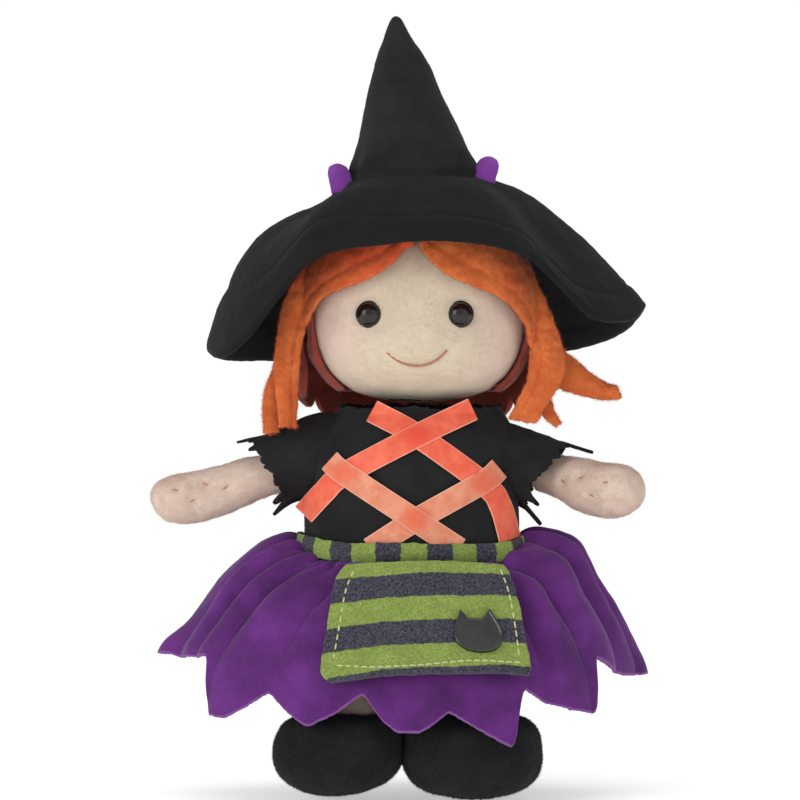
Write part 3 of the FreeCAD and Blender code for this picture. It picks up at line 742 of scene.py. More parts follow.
# ---- hair ----------------------------------------------------------------------------------
def hair_sheet(name, inner, outer, edge, seed, bulge, jag=0.5, across=22, along=110, crease=0.0):
    """A strip of fleece between two edges given as (x, z), lying over the head and hanging past it.
    edge is how far in front of the head's middle it hangs, jag how ragged its edges are, and
    across and along are its counts of points."""
    a, b = spline(inner, along)[:, None], spline(outer, along)[:, None]
    t = np.linspace(0, 1, across)[None, :]
    x = a[..., 0] * (1 - t) + b[..., 0] * t
    z = a[..., 1] * (1 - t) + b[..., 1] * t
    ragged = jag * bell(np.minimum(t, 1 - t), 0.06)
    far = np.linspace(0, 1, along)[:, None]
    ragged = ragged + jag * bell(1 - far, 0.012)
    x = x + ragged * wobble(stack(x, 0, z), 1.5, seed)
    z = z + ragged * wobble(stack(x, 9, z), 1.4, seed + 3)
    y = head_y(x, z, 1.6 + FLEECE / 2, edge)
    y = y - bulge * np.sin(math.pi * np.minimum(1, t * 1.05)) ** 0.7
    y = y + crease * bell(t - 0.28, 0.07) + 0.9 * wobble(stack(x, 0, z), 12, seed)
    y = y + 0.45 * wobble(stack(x * 0.35, 0, z * 1.5), 2.8, seed + 1)
    made = grid(name, stack(x, y, z))
    thicken(made, FLEECE)
    return weather(made, 0.45, 0.28, seed)


def finish_hair(made, material, fibre, nodes, count, seed):
    """Material, ride and pile of a fleece piece."""
    dress(made, material, "orange_fleece", "head", *nodes)
    pile(made, "head", count, 1.5, 0.14, fibre, seed, lift=0.9)


LEFT_INNER = [(0.3, 171), (-3.2, 170), (-7.9, 164.1), (-13.6, 159.9), (-21.1, 156.6), (-26.8, 154.7),
              (-31.5, 152.8), (-35.3, 150), (-38.6, 145.2), (-41, 140.5), (-42.4, 135.8), (-43.3, 131),
              (-44.3, 121), (-44.6, 111), (-45, 101.5)]
LEFT_OUTER = [(0.5, 184), (-14, 184), (-26, 180), (-34, 173), (-38, 168), (-41.5, 164), (-45, 159),
              (-47.6, 154.7), (-49.5, 150), (-51.4, 140.5), (-52.6, 131), (-53, 121), (-51.6, 110),
              (-50.8, 101.8)]
RIGHT_INNER = [(3.6, 171), (3.9, 170.3), (7.2, 165.1), (11.9, 160.8), (19.5, 157.1), (26.1, 154.2),
               (31.7, 151.9), (36.5, 149), (40.3, 145.2), (43.1, 140.5), (45, 134.8), (45.9, 129),
               (45.4, 123.5), (44, 117.8), (41.2, 112.2), (36.7, 104.6)]
RIGHT_OUTER = [(4, 184), (18, 184), (30, 179), (39, 170), (45, 163.2), (48.8, 156.5), (51.6, 150),
               (54.5, 142.4), (57.3, 135.8), (58.7, 129.2), (58.2, 121.7), (55.4, 116), (52.5, 111.2),
               (47.8, 103.4)]


STRAND_INNER = [(-46, 134), (-48.5, 124), (-50.2, 118), (-51.2, 110), (-51.5, 99.6)]
STRAND_OUTER = [(-49, 134), (-53.4, 124), (-55.4, 119.4), (-57, 112), (-56.8, 99.2)]
SMALL_INNER = [(46, 119), (48, 111), (51, 105.6), (56.2, 102.6)]
SMALL_OUTER = [(51, 119), (53.6, 111.5), (55.6, 107), (57.2, 103)]
TUFT_LOWER = [(47, 122), (53, 118.5), (57, 117.4), (60.1, 116), (65.8, 114.1), (73.3, 113.1), (80.2, 113.6)]
TUFT_UPPER = [(50, 138), (56, 134), (59, 131), (62.9, 128.3), (68.6, 122.6), (73.3, 119.3), (79.9, 116.3)]
# pieces: name, its two edges, edge, how it is cut, material, CAD nodes, fibres, seed of the fibres
HAIR = [
    # the left sheet wears the fleece with the brim's painted shadow on its top
    ("hair_swept_left", LEFT_INNER, LEFT_OUTER, 15, {"seed": 2, "bulge": 1.8, "crease": 1.1},
     ORANGE_BRIM_SHADOW, ["hair_fringe_left", "hair_lock_left"], 16000, 5),
    ("hair_swept_right", RIGHT_INNER, RIGHT_OUTER, 15, {"seed": 6, "bulge": 2.0, "crease": 0.7},
     ORANGE, ["hair_fringe_right", "hair_lock_right"], 16000, 6),
    ("hair_strand_outer_left", STRAND_INNER, STRAND_OUTER, 11,
     {"seed": 9, "bulge": 1.2, "across": 12, "along": 60}, ORANGE, ["hair_strand_left"], 4000, 7),
    ("hair_strand_small_right", SMALL_INNER, SMALL_OUTER, 11,
     {"seed": 12, "bulge": 0.6, "across": 10, "along": 40}, ORANGE, ["hair_strand_right"], 2500, 8),
    ("hair_side_tuft_right", TUFT_LOWER, TUFT_UPPER, 9,
     {"seed": 15, "bulge": 1.6, "across": 16, "along": 60, "jag": 1.3}, ORANGE, ["hair_tuft_right"], 6000, 9)]


def hair():
    """Fleece hair: two swept sheets from a centre parting, strands, a tuft, the cap and the back."""
    for name, inner, outer, edge, cut, material, nodes, count, seed in HAIR:
        made = hair_sheet(name, inner, outer, edge, **cut)
        finish_hair(made, material, ORANGE_PILE, nodes, count, seed)
    cap()
    back_hair()


CAP_BOTTOM = 116


def cap():
    """Fleece over the back and sides of the head."""
    share = np.linspace(0, 1, 44)[:, None]
    top = HEAD[2] + HEAD_HIGH + 2.2
    z = CAP_BOTTOM + (top - CAP_BOTTOM) * np.sin(share * math.pi / 2)
    up = np.minimum(0.9999, np.abs(z - HEAD[2]) / (np.where(z > HEAD[2], HEAD_HIGH, HEAD_LOW) + 2.4))
    ring = (1 - up ** HEAD_POWER) ** (1 / HEAD_POWER)
    turn = np.linspace(-0.10 * math.pi, 1.10 * math.pi, 96)[None, :]
    reach = ring * (1 + 0.02 * wobble(stack(turn * 12, z, 0), 9, 4))
    x = HEAD[0] + (HEAD_HALF[0] + 2.0) * reach * np.cos(turn)
    y = (HEAD_HALF[1] + 2.2) * reach * np.sin(turn)
    made = grid("hair_cap_fleece", stack(x, y, z))
    thicken(made, FLEECE)
    weather(made, 0.6, 0.25, 21)
    # the cap wears the darker fleece: painted shade
    finish_hair(made, ORANGE_IN_SHADE, ORANGE_IN_SHADE, ["hair_cap"], 12000, 10)


def back_hair():
    """The long fleece at the back of the head, cut into strands at the bottom."""
    low, high = box_mm("hair_back")
    half_x, half_y = (high.x - low.x) / 2 + 1.2, high.y - 2.5
    level = np.linspace(0, 1, 50)[:, None]
    turn = np.linspace(-0.05 * math.pi, 1.05 * math.pi, 250)[None, :]
    phase = turn * 9.5 + 0.6 * np.sin(turn * 5)
    strand = np.abs(np.sin(phase))
    bottom = low.z + 0.5 + 8 * (1 - strand) ** 3 + 2.5 * wobble(stack(turn * 20, 0, 0), 3, 2)
    bottom = bottom + 12 * np.abs(np.cos(turn)) ** 4
    z = high.z - 4 + (bottom - high.z + 4) * level
    wave = 1.8 * np.sin(phase) * level + 1.4 * wobble(stack(turn * 20, z, 0), 14, 7)
    tuck = 1 - 0.05 * (1 - level) - 0.05 * level ** 2
    x = (low.x + high.x) / 2 + (half_x * tuck + wave) * np.cos(turn)
    y = (half_y * tuck + wave) * np.sin(turn) + 2
    made = grid("hair_back_fleece", stack(x, y, z))
    thicken(made, FLEECE)
    weather(made, 0.4, 0.25, 31)
    # the back hair wears the darker fleece: painted shade
    finish_hair(made, ORANGE_IN_SHADE, ORANGE_IN_SHADE, ["hair_back"], 16000, 12)


# ---- hat -----------------------------------------------------------------------------------
# crown of the hat: (height, x of its middle, radius)
CONE = [(188, 1.1, 23.5), (193, 0.9, 24.6), (196.6, 0.8, 25.0), (199.5, 0.7, 24.3), (202.7, 0.6, 24.2),
        (212.9, -0.2, 20.5), (224.2, -1.7, 16.7), (232, -2.8, 14.0), (240.7, -3.8, 11.2), (247, -4.7, 8.6),
        (251.6, -5.2, 6.1), (257.4, -5.9, 3.4), (260.4, -6.2, 1.6), (261.2, -6.3, 0.3)]
HAT_Y = 1
BRIM_ROOT = 195.4                 # height at which the brim leaves the crown
BRIM_THICK = 3.0
# rim of the brim: turn in degrees from +X, reach and height, from the right round the back
RIM = [(0, 88.3, 146.8), (17, 87, 139.5), (43, 85, 131), (66, 78, 128.5), (90, 71, 128),
       (118, 72, 127.5), (145, 76, 127), (165, 78.5, 127.5), (180, 78.3, 131), (196, 76.5, 128.5),
       (208, 72.5, 134.5), (217, 68, 146), (225, 63.5, 158.5), (233, 60.5, 165.5), (247, 58.5, 169.5),
       (270, 58.5, 171.2), (293, 60.5, 170), (308, 65, 167), (316, 67, 161.5), (324, 71, 152),
       (333, 77, 142.5), (346, 84.5, 141.5), (360, 88.3, 146.8)]
# rise of the brim's curve above the straight line to its rim, at a third and two thirds
BRIM_RISE = {"right": (8.5, 6.5), "front": (3.5, 4.0), "left": (9, 19), "back": (10, 14)}


def hat_crown():
    """Stuffed felt crown, wrinkled where it meets the brim."""
    profile = spline(CONE, 110)
    z, x, radius = (profile[:, k, None] for k in range(3))
    turn = circle(160)
    ringed = oval(turn, 22, 22, z)
    low = np.clip(1 - (z - 195) / 24, 0, 1)
    fold = 1.1 * low * np.sin(turn * 8 + 2 * np.sin(turn * 2)) * bell(z - 202, 8)
    fold = fold + 0.8 * wobble(ringed, 6, 15) * bell(z - 200, 7)
    r = radius + fold + 0.4 * wobble(ringed, 15, 5) * np.minimum(1, radius / 10)
    rows = stack(x + r * np.cos(turn), HAT_Y + r * np.sin(turn), z)
    made = grid("hat_crown_felt", rows, closed=True)
    weather(made, 0.2, 0.12, 41)
    dress(made, BLACK_FELT, "black_felt", "head", "hat_cone", "hat_stuffing")
    pile(made, "head", 14000, 0.6, 0.1, BLACK_PILE, 15)


def rim_at(turn):
    """Reach and height of the rim in the directions turn, in radians."""
    table = np.array(RIM, float)
    around = np.vstack([table[:-1] - (360, 0, 0), table, table[1:] + (360, 0, 0)])
    fine = spline(around, 1500)
    degrees = np.degrees(turn) % 360
    return np.interp(degrees, fine[:, 0], fine[:, 1]), np.interp(degrees, fine[:, 0], fine[:, 2])


def hat_brim():
    """Two layers of felt with a stitched rim, drooping over the sides of the head."""
    share = np.linspace(0, 1, 50)[:, None]
    turn = circle(260)
    reach, height = rim_at(turn)
    across, ahead = np.cos(turn), np.sin(turn)
    weights = {"right": np.maximum(across, 0) ** 2, "left": np.minimum(across, 0) ** 2,
               "back": np.maximum(ahead, 0) ** 2, "front": np.minimum(ahead, 0) ** 2}
    rise_1, rise_2 = (sum(rise[k] * weights[side] for side, rise in BRIM_RISE.items()) for k in range(2))
    curve_1 = 13.5 * share * (share - 2 / 3) * (share - 1)
    curve_2 = -13.5 * share * (share - 1 / 3) * (share - 1)
    inner = CONE[0][2] + 0.6
    r = inner + (reach - inner) * share
    z = BRIM_ROOT + (height - BRIM_ROOT) * share + rise_1 * curve_1 + rise_2 * curve_2
    z = z + share * wobble(oval(turn, 40, 40, share * 30), 18, 3)
    made = grid("hat_brim_felt", stack(CONE[1][1] + r * across, HAT_Y + r * ahead, z), closed=True)
    thicken(made, BRIM_THICK, offset=-1.0)

    def seam(p):
        x, y = p[:, 0] - CONE[1][1], p[:, 1] - HAT_Y
        inside = rim_at(np.arctan2(y, x))[0] - np.hypot(x, y)
        return -0.45 * bell(inside - 5.5, 0.9) + 0.3 * bell(inside - 2.5, 2.2)
    push(made, seam)
    weather(made, 0.4, 0.15, 51)
    # the brim takes the darker copy of the black felt: painted shade
    dress(made, BRIM_FELT_SHADED, "black_felt", "head", "hat_brim")
    pile(made, "head", 24000, 0.6, 0.1, BLACK_PILE, 16)


# a folded tab from the side, as (y, z) round its middle
LOOP_BEND = [(4.6, -6), (3.6, 0), (2.4, 3.6), (0, 5.0), (-2.4, 3.6), (-3.6, 0), (-4.6, -6)]


def hat_loops():
    """Small folded tabs of purple felt at the foot of the crown."""
    for side, sign in (("left", -1), ("right", 1)):
        low, high = box_mm("hat_loop_" + side)
        middle = (low + high) / 2
        bend = spline(LOOP_BEND, 44)
        across = np.linspace(-4.3, 4.3, 14)[None, :]
        round_top = 0.07 * across ** 2 * np.clip(bend[:, 1, None] / 5, 0, 1)
        y = middle.y - 6 + bend[:, 0, None] + 0.05 * across ** 2
        z = middle.z + 0.4 + bend[:, 1, None] - round_top
        corner = 1 - 0.3 * np.clip(bend[:, 1, None] / 5, 0, 1) ** 3
        x = middle.x + across * corner + 0.18 * sign * bend[:, 1, None]
        made = grid("hat_loop_felt_" + side, stack(x, y, z))
        thicken(made, 1.8)
        weather(made, 0.3, 0.15, 61 + sign)
        dress(made, LOOP_FELT, "purple_felt", "head", "hat_loop_" + side)


# ---- bodice, ribbons and belt -------------------------------------------------------------
BODY_FINE = spline(BODY, 120)


def body_half(z, grow):
    """Half width and half depth of the glove body at the heights z, grown outwards."""
    z = np.minimum(z, BODY[-1][0])
    return (np.interp(z, BODY_FINE[:, 0], BODY_FINE[:, 1]) + grow,
            np.interp(z, BODY_FINE[:, 0], BODY_FINE[:, 2]) + grow)


def body_front(x, z, grow):
    """Y of the front of the glove body, grown outwards."""
    a, b = body_half(z, grow)
    return -b * np.sqrt(np.maximum(0.02, 1 - (x / a) ** 2))


def bodice():
    """Black felt top with a ragged neckline."""
    columns = np.arange(320)
    turn = 2 * math.pi * columns / len(columns)
    spiky = stack(columns * 0.9, 0, 0)
    low, neckline = BODICE
    top = neckline + wobble(spiky, 6, 4) + 1.2 * np.abs(wobble(spiky, 1.9, 6)) + 0.8 * np.sin(turn)
    share = np.linspace(0, 1, 70)[:, None]
    z = low + (top - low) * share
    soft = oval(turn, 30, 30, z)
    a, b = body_half(z, 1.4 + 0.5 * wobble(soft, 12, 9))
    neck = np.clip((z - 104) / 7, 0, 1)
    x = (a - 1.0 * neck) * np.cos(turn) + 3.0 * np.clip((z - 90) / 16, 0, 1)
    y = (b + 1.4 * neck) * np.sin(turn)
    made = grid("bodice_felt", stack(x, y, z), closed=True)
    thicken(made, FELT, rounds=0)
    weather(made, 0.3, 0.15, 71)
    dress(made, BLACK_FELT, "black_felt", "torso", "bodice")
    pile(made, "torso", 16000, 0.6, 0.1, BLACK_PILE, 17)


# ribbons: name, (x, z) along the middle, how far it stands off, material
RIBBONS = [
    ("ribbon_1", [(-15.5, 108.3), (1.9, 98.8), (27.5, 80.2), (33.8, 72), (37.8, 58.5)], 0.4, SATIN_DARK),
    ("ribbon_2", [(23.4, 109), (1.9, 98.8), (-26, 84), (-33.6, 77.3), (-42.0, 68.2)], 1.0, SATIN_DARK),
    ("ribbon_3", [(-31.8, 89.3), (-26, 84.4), (1.2, 66.6), (18, 55.5)], 1.7, SATIN_PALE),
    ("ribbon_4", [(33.6, 86.2), (27, 81), (1.2, 66.6), (-16.2, 55.5)], 1.0, SATIN_PALE)]
CROSSINGS = [(1.9, 98.8), (-26, 84.2), (27.2, 80.6), (1.2, 66.6)]


def near_crossing(dx, dz):
    """1 at a crossing, falling smoothly to 0 away from it."""
    return bell(np.hypot(dx, dz), 6.5)


def doubled_cloth(dx, dz):
    """1 where one ribbon covers another, 0 clear of it."""
    return np.clip(1.6 - np.hypot(dx, dz * 1.3) / 5, 0, 1)


def ribbons():
    """Satin ribbons crossed over the chest."""
    for number, (name, line, stand, material) in enumerate(RIBBONS):
        path = spline(line, 90)
        ahead = unit(np.gradient(path, axis=0))
        side = np.stack([-ahead[:, 1], ahead[:, 0]], axis=1)
        across = np.linspace(-1, 1, 15)[None, :, None] * RIBBON_WIDTH / 2
        flat = path[:, None] + side[:, None] * across
        x, z = flat[..., 0], flat[..., 1]
        near, crossed = (np.max([bump(x - cx, z - cz) for cx, cz in CROSSINGS], axis=0)
                         for bump in (near_crossing, doubled_cloth))
        lift = stand * (0.35 + 0.65 * near) + 0.4 * wobble(stack(x, number * 20, z), 8, number + 1)
        grow = 3.3 + lift + 1.8 * np.clip((z - 97) / 7, 0, 1)
        y = body_front(x - 2.5 * np.clip((z - 90) / 16, 0, 1), z, grow)
        made = grid(name + "_satin", stack(x, y, z))
        layers = made.data.attributes.new("layers", "FLOAT", "POINT")
        layers.data.foreach_set("value", crossed.astype(np.float32).ravel())
        thicken(made, 0.45)
        dress(made, material, "orange_satin", "torso", name)


def belt():
    """Striped felt band round the waist."""
    low, high = BELT
    t = np.linspace(0, 1, 13)[:, None]
    turn = circle(280)
    soft = oval(turn, 40, 30, t * 7)
    z = low + (high - low) * t + 0.5 * wobble(soft, 9, 2) + 0.3 * wobble(soft, 2.5, 4)
    z = z + 3.0 * np.abs(np.cos(turn)) ** 5 - 0.7 * np.cos(turn)
    a, b = body_half(z, 4.2 + 1.1 * np.sin(math.pi * t))
    made = grid("waist_belt_felt", oval(turn, a, b, z), closed=True)
    thicken(made, 1.8)
    weather(made, 0.25, 0.25, 81)
    dress(made, BELT_FELT, "striped_felt", "torso", "waist_belt")
    pile(made, "torso", 4000, 0.6, 0.1, STRIPE_PILE, 18, lift=0.8)


LEG_SLOT = 22.5                   # height of the slot for the legs in the front of the lining
LINING_TOP = 106.5


def glove_lining():
    """Woven lining of the glove, seen from below, with the slot for the legs; it also stands for the glove's
    turned hem, which is not shaped.
    """
    t = np.linspace(0, 1, 50)[:, None]
    turn = circle(160)
    front = np.maximum(0, -np.sin(turn))
    bottom = LEG_SLOT / (1 + np.exp(-(front - 0.45) * 26))
    z = bottom + (LINING_TOP - bottom) * t
    soft = oval(turn, 30, 30, z)
    a, b = body_half(z, -0.9 - 0.5 * np.abs(wobble(soft, 12, 7)))
    narrow = 1 - 0.2 * np.clip((z - 97) / 9, 0, 1)
    made = grid("glove_lining_cloth", oval(turn, a * narrow, b * narrow, z), closed=True)
    thicken(made, 1.2)
    dress(made, LINING, "lining_cloth", "torso", "body_front", "body_back", "opening_hem")


# ---- skirt ---------------------------------------------------------------------------------
# outside of the skirt as (reach, height) at its left, right, front and back
SKIRT_LINES = {
    "left": [(42.8, 50.5), (44.5, 56.5), (49.4, 59.6), (58, 56), (71.7, 43.5), (80, 33.5), (86.5, 24),
             (91, 15), (93.5, 4), (94.5, -8), (95, -24)],
    "right": [(42.6, 50.5), (44, 58.5), (50, 61), (61, 57.2), (66, 50.8), (71, 41.5), (76.2, 33.8),
              (80.5, 26), (84, 15), (86, 4), (87.5, -9), (88, -24)],
    "front": [(33.4, 50.0), (35, 48.6), (38, 44), (43, 36), (49, 25), (54.5, 12), (59, 0), (63, -12),
              (66, -24)],
    "back": [(33.6, 50.5), (36, 52), (41, 49), (47, 41), (53, 30), (58.5, 17), (62, 4), (64.5, -10),
             (66, -24)]}
# hem as seen from the front: (x, z) from the left to the right
HEM_FRONT = [(-92, 13.6), (-78.6, 14.4), (-77.2, 13.4), (-76.2, -7.2), (-69, -8), (-61, -3),
             (-54.4, 2.2), (-46, -6), (-39.4, -10.4), (-30, -5.4), (-19, 2.4), (-12, -7), (-6, -11.6),
             (2.6, -11.8), (9, -8), (14, -3.8), (26, -11), (38.4, -18.4), (42, 3.8), (50, -2),
             (59, -5), (68.4, -6.8), (69.3, 14.6), (76, 10.5), (83, 7)]
SIDE_TIPS = {"left": (12.5, 7.5), "right": (5.5, 3.5)}    # height and outward flare of the two side tips
BACK_TIPS = 5
SKIRT_STEPS = 260                 # steps down the outline of the skirt, from the waist
WAIST_STEPS = 30                  # the first of these, which the hem never reaches


def skirt_line(turn, level):
    """Reach across, reach ahead and height of the skirt at the levels 0 to 1 along its outside."""
    lines = {side: spline(points, SKIRT_STEPS) for side, points in SKIRT_LINES.items()}
    at = level * (SKIRT_STEPS - 1)
    across, ahead = np.cos(turn), np.sin(turn)
    wide = {side: [np.interp(at, range(SKIRT_STEPS), line[:, k]) for k in range(2)]
            for side, line in lines.items()}
    right, back = across > 0, ahead > 0
    a = np.where(right, wide["right"][0], wide["left"][0])
    b = np.where(back, wide["back"][0], wide["front"][0])
    side_z = np.where(right, wide["right"][1], wide["left"][1])
    end_z = np.where(back, wide["back"][1], wide["front"][1])
    sideways = np.abs(across) ** (2.2 + 3.0 * np.clip(1 - level / 0.3, 0, 1))
    return a, b, side_z * sideways + end_z * (1 - sideways)


def hem_line():
    """Height of the hem as (turn, height) all the way round, in order."""
    around = []
    for x, z in HEM_FRONT:
        side = np.array(SKIRT_LINES["left" if x < 0 else "right"])
        reach = np.interp(-z, -side[2:, 1], side[2:, 0])
        around.append((-math.acos(np.clip(x / reach, -0.998, 0.998)), z))
    around.append((-math.pi, SIDE_TIPS["left"][0]))
    around.append((0, SIDE_TIPS["right"][0]))
    for k in range(BACK_TIPS):
        start, end = (math.pi * (0.16 + 0.68 * (k + share) / BACK_TIPS) for share in (0, 1))
        around.append((start, 13 if k == 0 else 3))
        around.append((start + 0.02, 12 if k == 0 else 2))
        around.append(((start + end) / 2, -11 - 3 * (k % 2)))
    around.append((math.pi * 0.84, 14))
    around.append((math.pi, SIDE_TIPS["left"][0]))
    return np.array(sorted(around))


def skirt():
    """Gathered felt skirt with a pointed hem."""
    columns, levels = 900, 76
    turn = np.linspace(-math.pi, math.pi, columns, endpoint=False)
    hem = hem_line()
    hem_z = np.interp(turn, hem[:, 0], hem[:, 1])
    hem_z = np.convolve(np.pad(hem_z, 2, mode="wrap"), np.full(5, 0.2), mode="valid")
    steps = np.linspace(0, 1, SKIRT_STEPS)[:, None]
    full_z = skirt_line(turn[None, :], steps)[2]
    below = (full_z <= hem_z[None, :]) & (np.arange(SKIRT_STEPS)[:, None] > WAIST_STEPS)
    last = SKIRT_STEPS - 1
    stop = np.where(below.any(axis=0), below.argmax(axis=0), last) / last
    level = np.linspace(0, 1, levels)[:, None] * stop[None, :]
    around = turn[None, :] + 0 * level
    a, b, z = skirt_line(around, level)
    radial = np.hypot(a * np.cos(around), b * np.sin(around))
    run, drop = np.gradient(radial, axis=0), np.gradient(z, axis=0)
    size = np.hypot(run, drop) + 1e-9
    out, up = -drop / size, run / size
    phase = around * 9 + 1.1 * np.sin(around * 3 + 1) + 0.6 * np.sin(around * 7) + 0.5 * level
    gather = np.abs(np.sin(phase)) ** 0.8 - 0.68
    wave = np.sin(around * 5 + 1.2 * np.sin(around * 2 + 0.5))
    behind_apron = bell(around + math.pi / 2, 0.62)
    fold = 5.6 * gather * bell(level - 0.30, 0.24) + 3.0 * gather * np.clip(level - 0.2, 0, 1)
    fold = fold + 1.5 * np.sin(around * 40 + 4 * np.sin(around * 5)) * bell(level - 0.05, 0.07)
    fold = fold * (1 - 0.8 * behind_apron) + 3.4 * wave * np.clip(level - 0.15, 0, 1)
    fold = fold + wobble(oval(around, 60, 50, z), 14, 5)
    fold = fold * np.clip(level / 0.03, 0, 1)
    for side, centre in (("left", math.pi), ("right", 0.0)):
        away = np.abs((around - centre + math.pi) % (2 * math.pi) - math.pi)
        fold = fold + SIDE_TIPS[side][1] * bell(away, 0.12) * bell(level - stop[None, :], 0.10)
    a, b = a + fold * out, b + fold * out
    made = grid("skirt_felt", oval(around, a, b, z + fold * up), closed=True)
    thicken(made, 1.5, rounds=0)
    weather(made, 0.22, 0.1, 91)
    dress(made, SKIRT_FELT, "purple_felt", "torso", "skirt")
    pile(made, "torso", 26000, 0.5, 0.1, PURPLE_PILE, 19)


# ---- apron ---------------------------------------------------------------------------------
APRON_TOP_Y, APRON_TOP_Z, APRON_TILT = -38.6, 50.2, math.radians(28)
# its two side edges, as (down the apron, x)
APRON_LEFT = [(0, -25.2), (3, -27.4), (7, -29.2), (22, -31.6), (40, -34.2), (45, -34.4), (47.5, -32.6),
              (49.5, -29)]
APRON_RIGHT = [(0, 34.4), (3, 36.6), (7, 38), (16, 40.2), (30, 42.6), (43, 44.6), (45.5, 44.0),
               (49.5, 41)]


def apron_place(x, down, out=0.0):
    """Places on the apron: across, down its slope, and out from its back."""
    x, down = np.asarray(x, float), np.asarray(down, float)
    bend = 0.0028 * (x - 4) ** 2 * np.minimum(1, down / 14)
    bend = bend + 0.004 * (x - 5) ** 2 * np.clip(1 - down / 14, 0, 1)
    away = out - bend + 0.9 * wobble(stack(x, 0, down), 15, 4) * np.minimum(1, down / 10)
    y = APRON_TOP_Y - math.sin(APRON_TILT) * down - math.cos(APRON_TILT) * away
    z = APRON_TOP_Z - math.cos(APRON_TILT) * down + math.sin(APRON_TILT) * away
    return stack(x, y, z)


# its running stitches, as (x, down the apron), and how many stitches each line has
APRON_SEAMS = [([(33.4, 2.4), (36.4, 12), (38.8, 27), (40.2, 39)], 11),
               ([(40.4, 41), (22, 41.4), (4, 43.6), (-14, 44.2), (-29, 42.6)], 24),
               ([(-29.6, 40), (-27.4, 26), (-25.2, 12), (-21.8, 2.4)], 11)]
STITCH_SHARE = 0.72               # the part of each step that its stitch covers


def apron():
    """Striped felt apron with its running stitch and the badge."""
    t = np.linspace(0, 1, 70)[:, None]
    s = np.linspace(0, 1, 90)[None, :]
    down = (48.6 - 3.2 * s + 0.9 * wobble(stack(s * 60, 0, 0), 11, 8)) * t
    left, right = (np.interp(down, *zip(*edge)) for edge in (APRON_LEFT, APRON_RIGHT))
    made = grid("apron_felt", apron_place(left + (right - left) * s, down, 2.4))
    thicken(made, 2.4)
    weather(made, 0.2, 0.2, 101)
    dress(made, APRON_FELT, "striped_felt", "apron", "apron")
    pile(made, "apron", 7000, 0.6, 0.1, STRIPE_PILE, 20, lift=0.7)
    paths = []
    for points, count in APRON_SEAMS:
        line = spline(points, count)
        for (x0, d0), (x1, d1) in zip(line, line[1:]):
            t = np.linspace(0, STITCH_SHARE, 7)
            out = 3.3 + 0.5 * np.sin(math.pi * t / STITCH_SHARE)
            paths.append(apron_place(x0 + (x1 - x0) * t, d0 + (d1 - d0) * t, out))
    sewn = stitches("apron_thread", paths, 0.32, (0, 1, 0.2))
    dress(sewn, YELLOW_THREAD, "yellow_thread", "apron", "apron_stitching")
    badge()


BADGE_MIDDLE = (24.8, 31.0)       # x, down the apron
# outline of the cat head round its middle, from the right ear's tip; the ear tips stay sharp
EAR_RIGHT, EAR_LEFT = (4.4, 10.6), (-6.9, 9.9)
CHEEKS = [(6.8, 6.6), (9.2, 1.6), (8.6, -3.4), (5, -6.4), (0, -7.2), (-5, -6.2), (-8.6, -3),
          (-9.2, 1.6), (-8.1, 5.6)]
BROW = [(-4.2, 6.6), (-1, 6.3), (1.8, 6.8)]
# from the middle of its face over the raised rim to its back, as (share of the outline, out)
BADGE_SECTION = [(0.02, 5.2), (0.5, 5.2), (0.84, 5.2), (0.87, 5.2), (0.90, 5.65), (0.95, 5.7), (0.99, 5.4),
                 (1.0, 5.0), (0.99, 3.4)]


def badge():
    """Cat-head badge: a flat face with two ears and a raised rim."""
    below = spline([EAR_RIGHT] + CHEEKS + [EAR_LEFT], 90)
    above = spline([EAR_LEFT] + BROW + [EAR_RIGHT], 30)[1:-1]
    x, up = np.vstack([below, above]).T
    middle_x, middle_down = BADGE_MIDDLE
    rows = [apron_place(middle_x + x * scale, middle_down - up * scale, out) for scale, out in BADGE_SECTION]
    made = grid("cat_badge_face", rows, closed=True)
    dress(made, BADGE, "black_felt", "apron", "cat_badge")


# ---- arms and sleeves ------------------------------------------------------------------------
def arm_frame(side, forward, droop):
    """Directions of an arm at rest: along it, across it and over it."""
    turn, fall = math.radians(forward), math.radians(droop)
    level = math.cos(fall)
    along = np.array([side * level * math.cos(turn), -level * math.sin(turn), -math.sin(fall)])
    across = np.cross((0, 0, 1), along)
    across /= np.linalg.norm(across)
    return along, across, np.cross(along, across)


def arm_stitches(name, surface, dimples, root, along, over):
    """One small stitch in each dimple of an arm."""
    paths, outwards = [], []
    for place, lean in zip(dimples, (-0.5, 0.6, -0.2, 0.4)):
        on = surface[np.argmin(np.linalg.norm(surface - place, axis=1))]
        outward = (on - root) - along * ((on - root) @ along)
        outward /= np.linalg.norm(outward)
        t = np.linspace(-1, 1, 7)[:, None]
        way = along * math.cos(lean) + over * math.sin(lean)
        paths.append(on + way * t * 1.5 + outward * (0.35 - 0.5 * t ** 2))
        outwards.append(tuple(outward))
    made = stitches("arm_stitches_" + name, paths, 0.22, outwards)
    paint(made, ROSE_THREAD)
    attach(made, "arm_" + name)


# stitched dimples of an arm, as (back from its tip, up)
ARM_DIMPLES = [(30, -1), (23, 2.5), (16, -2.5), (11, 3)]


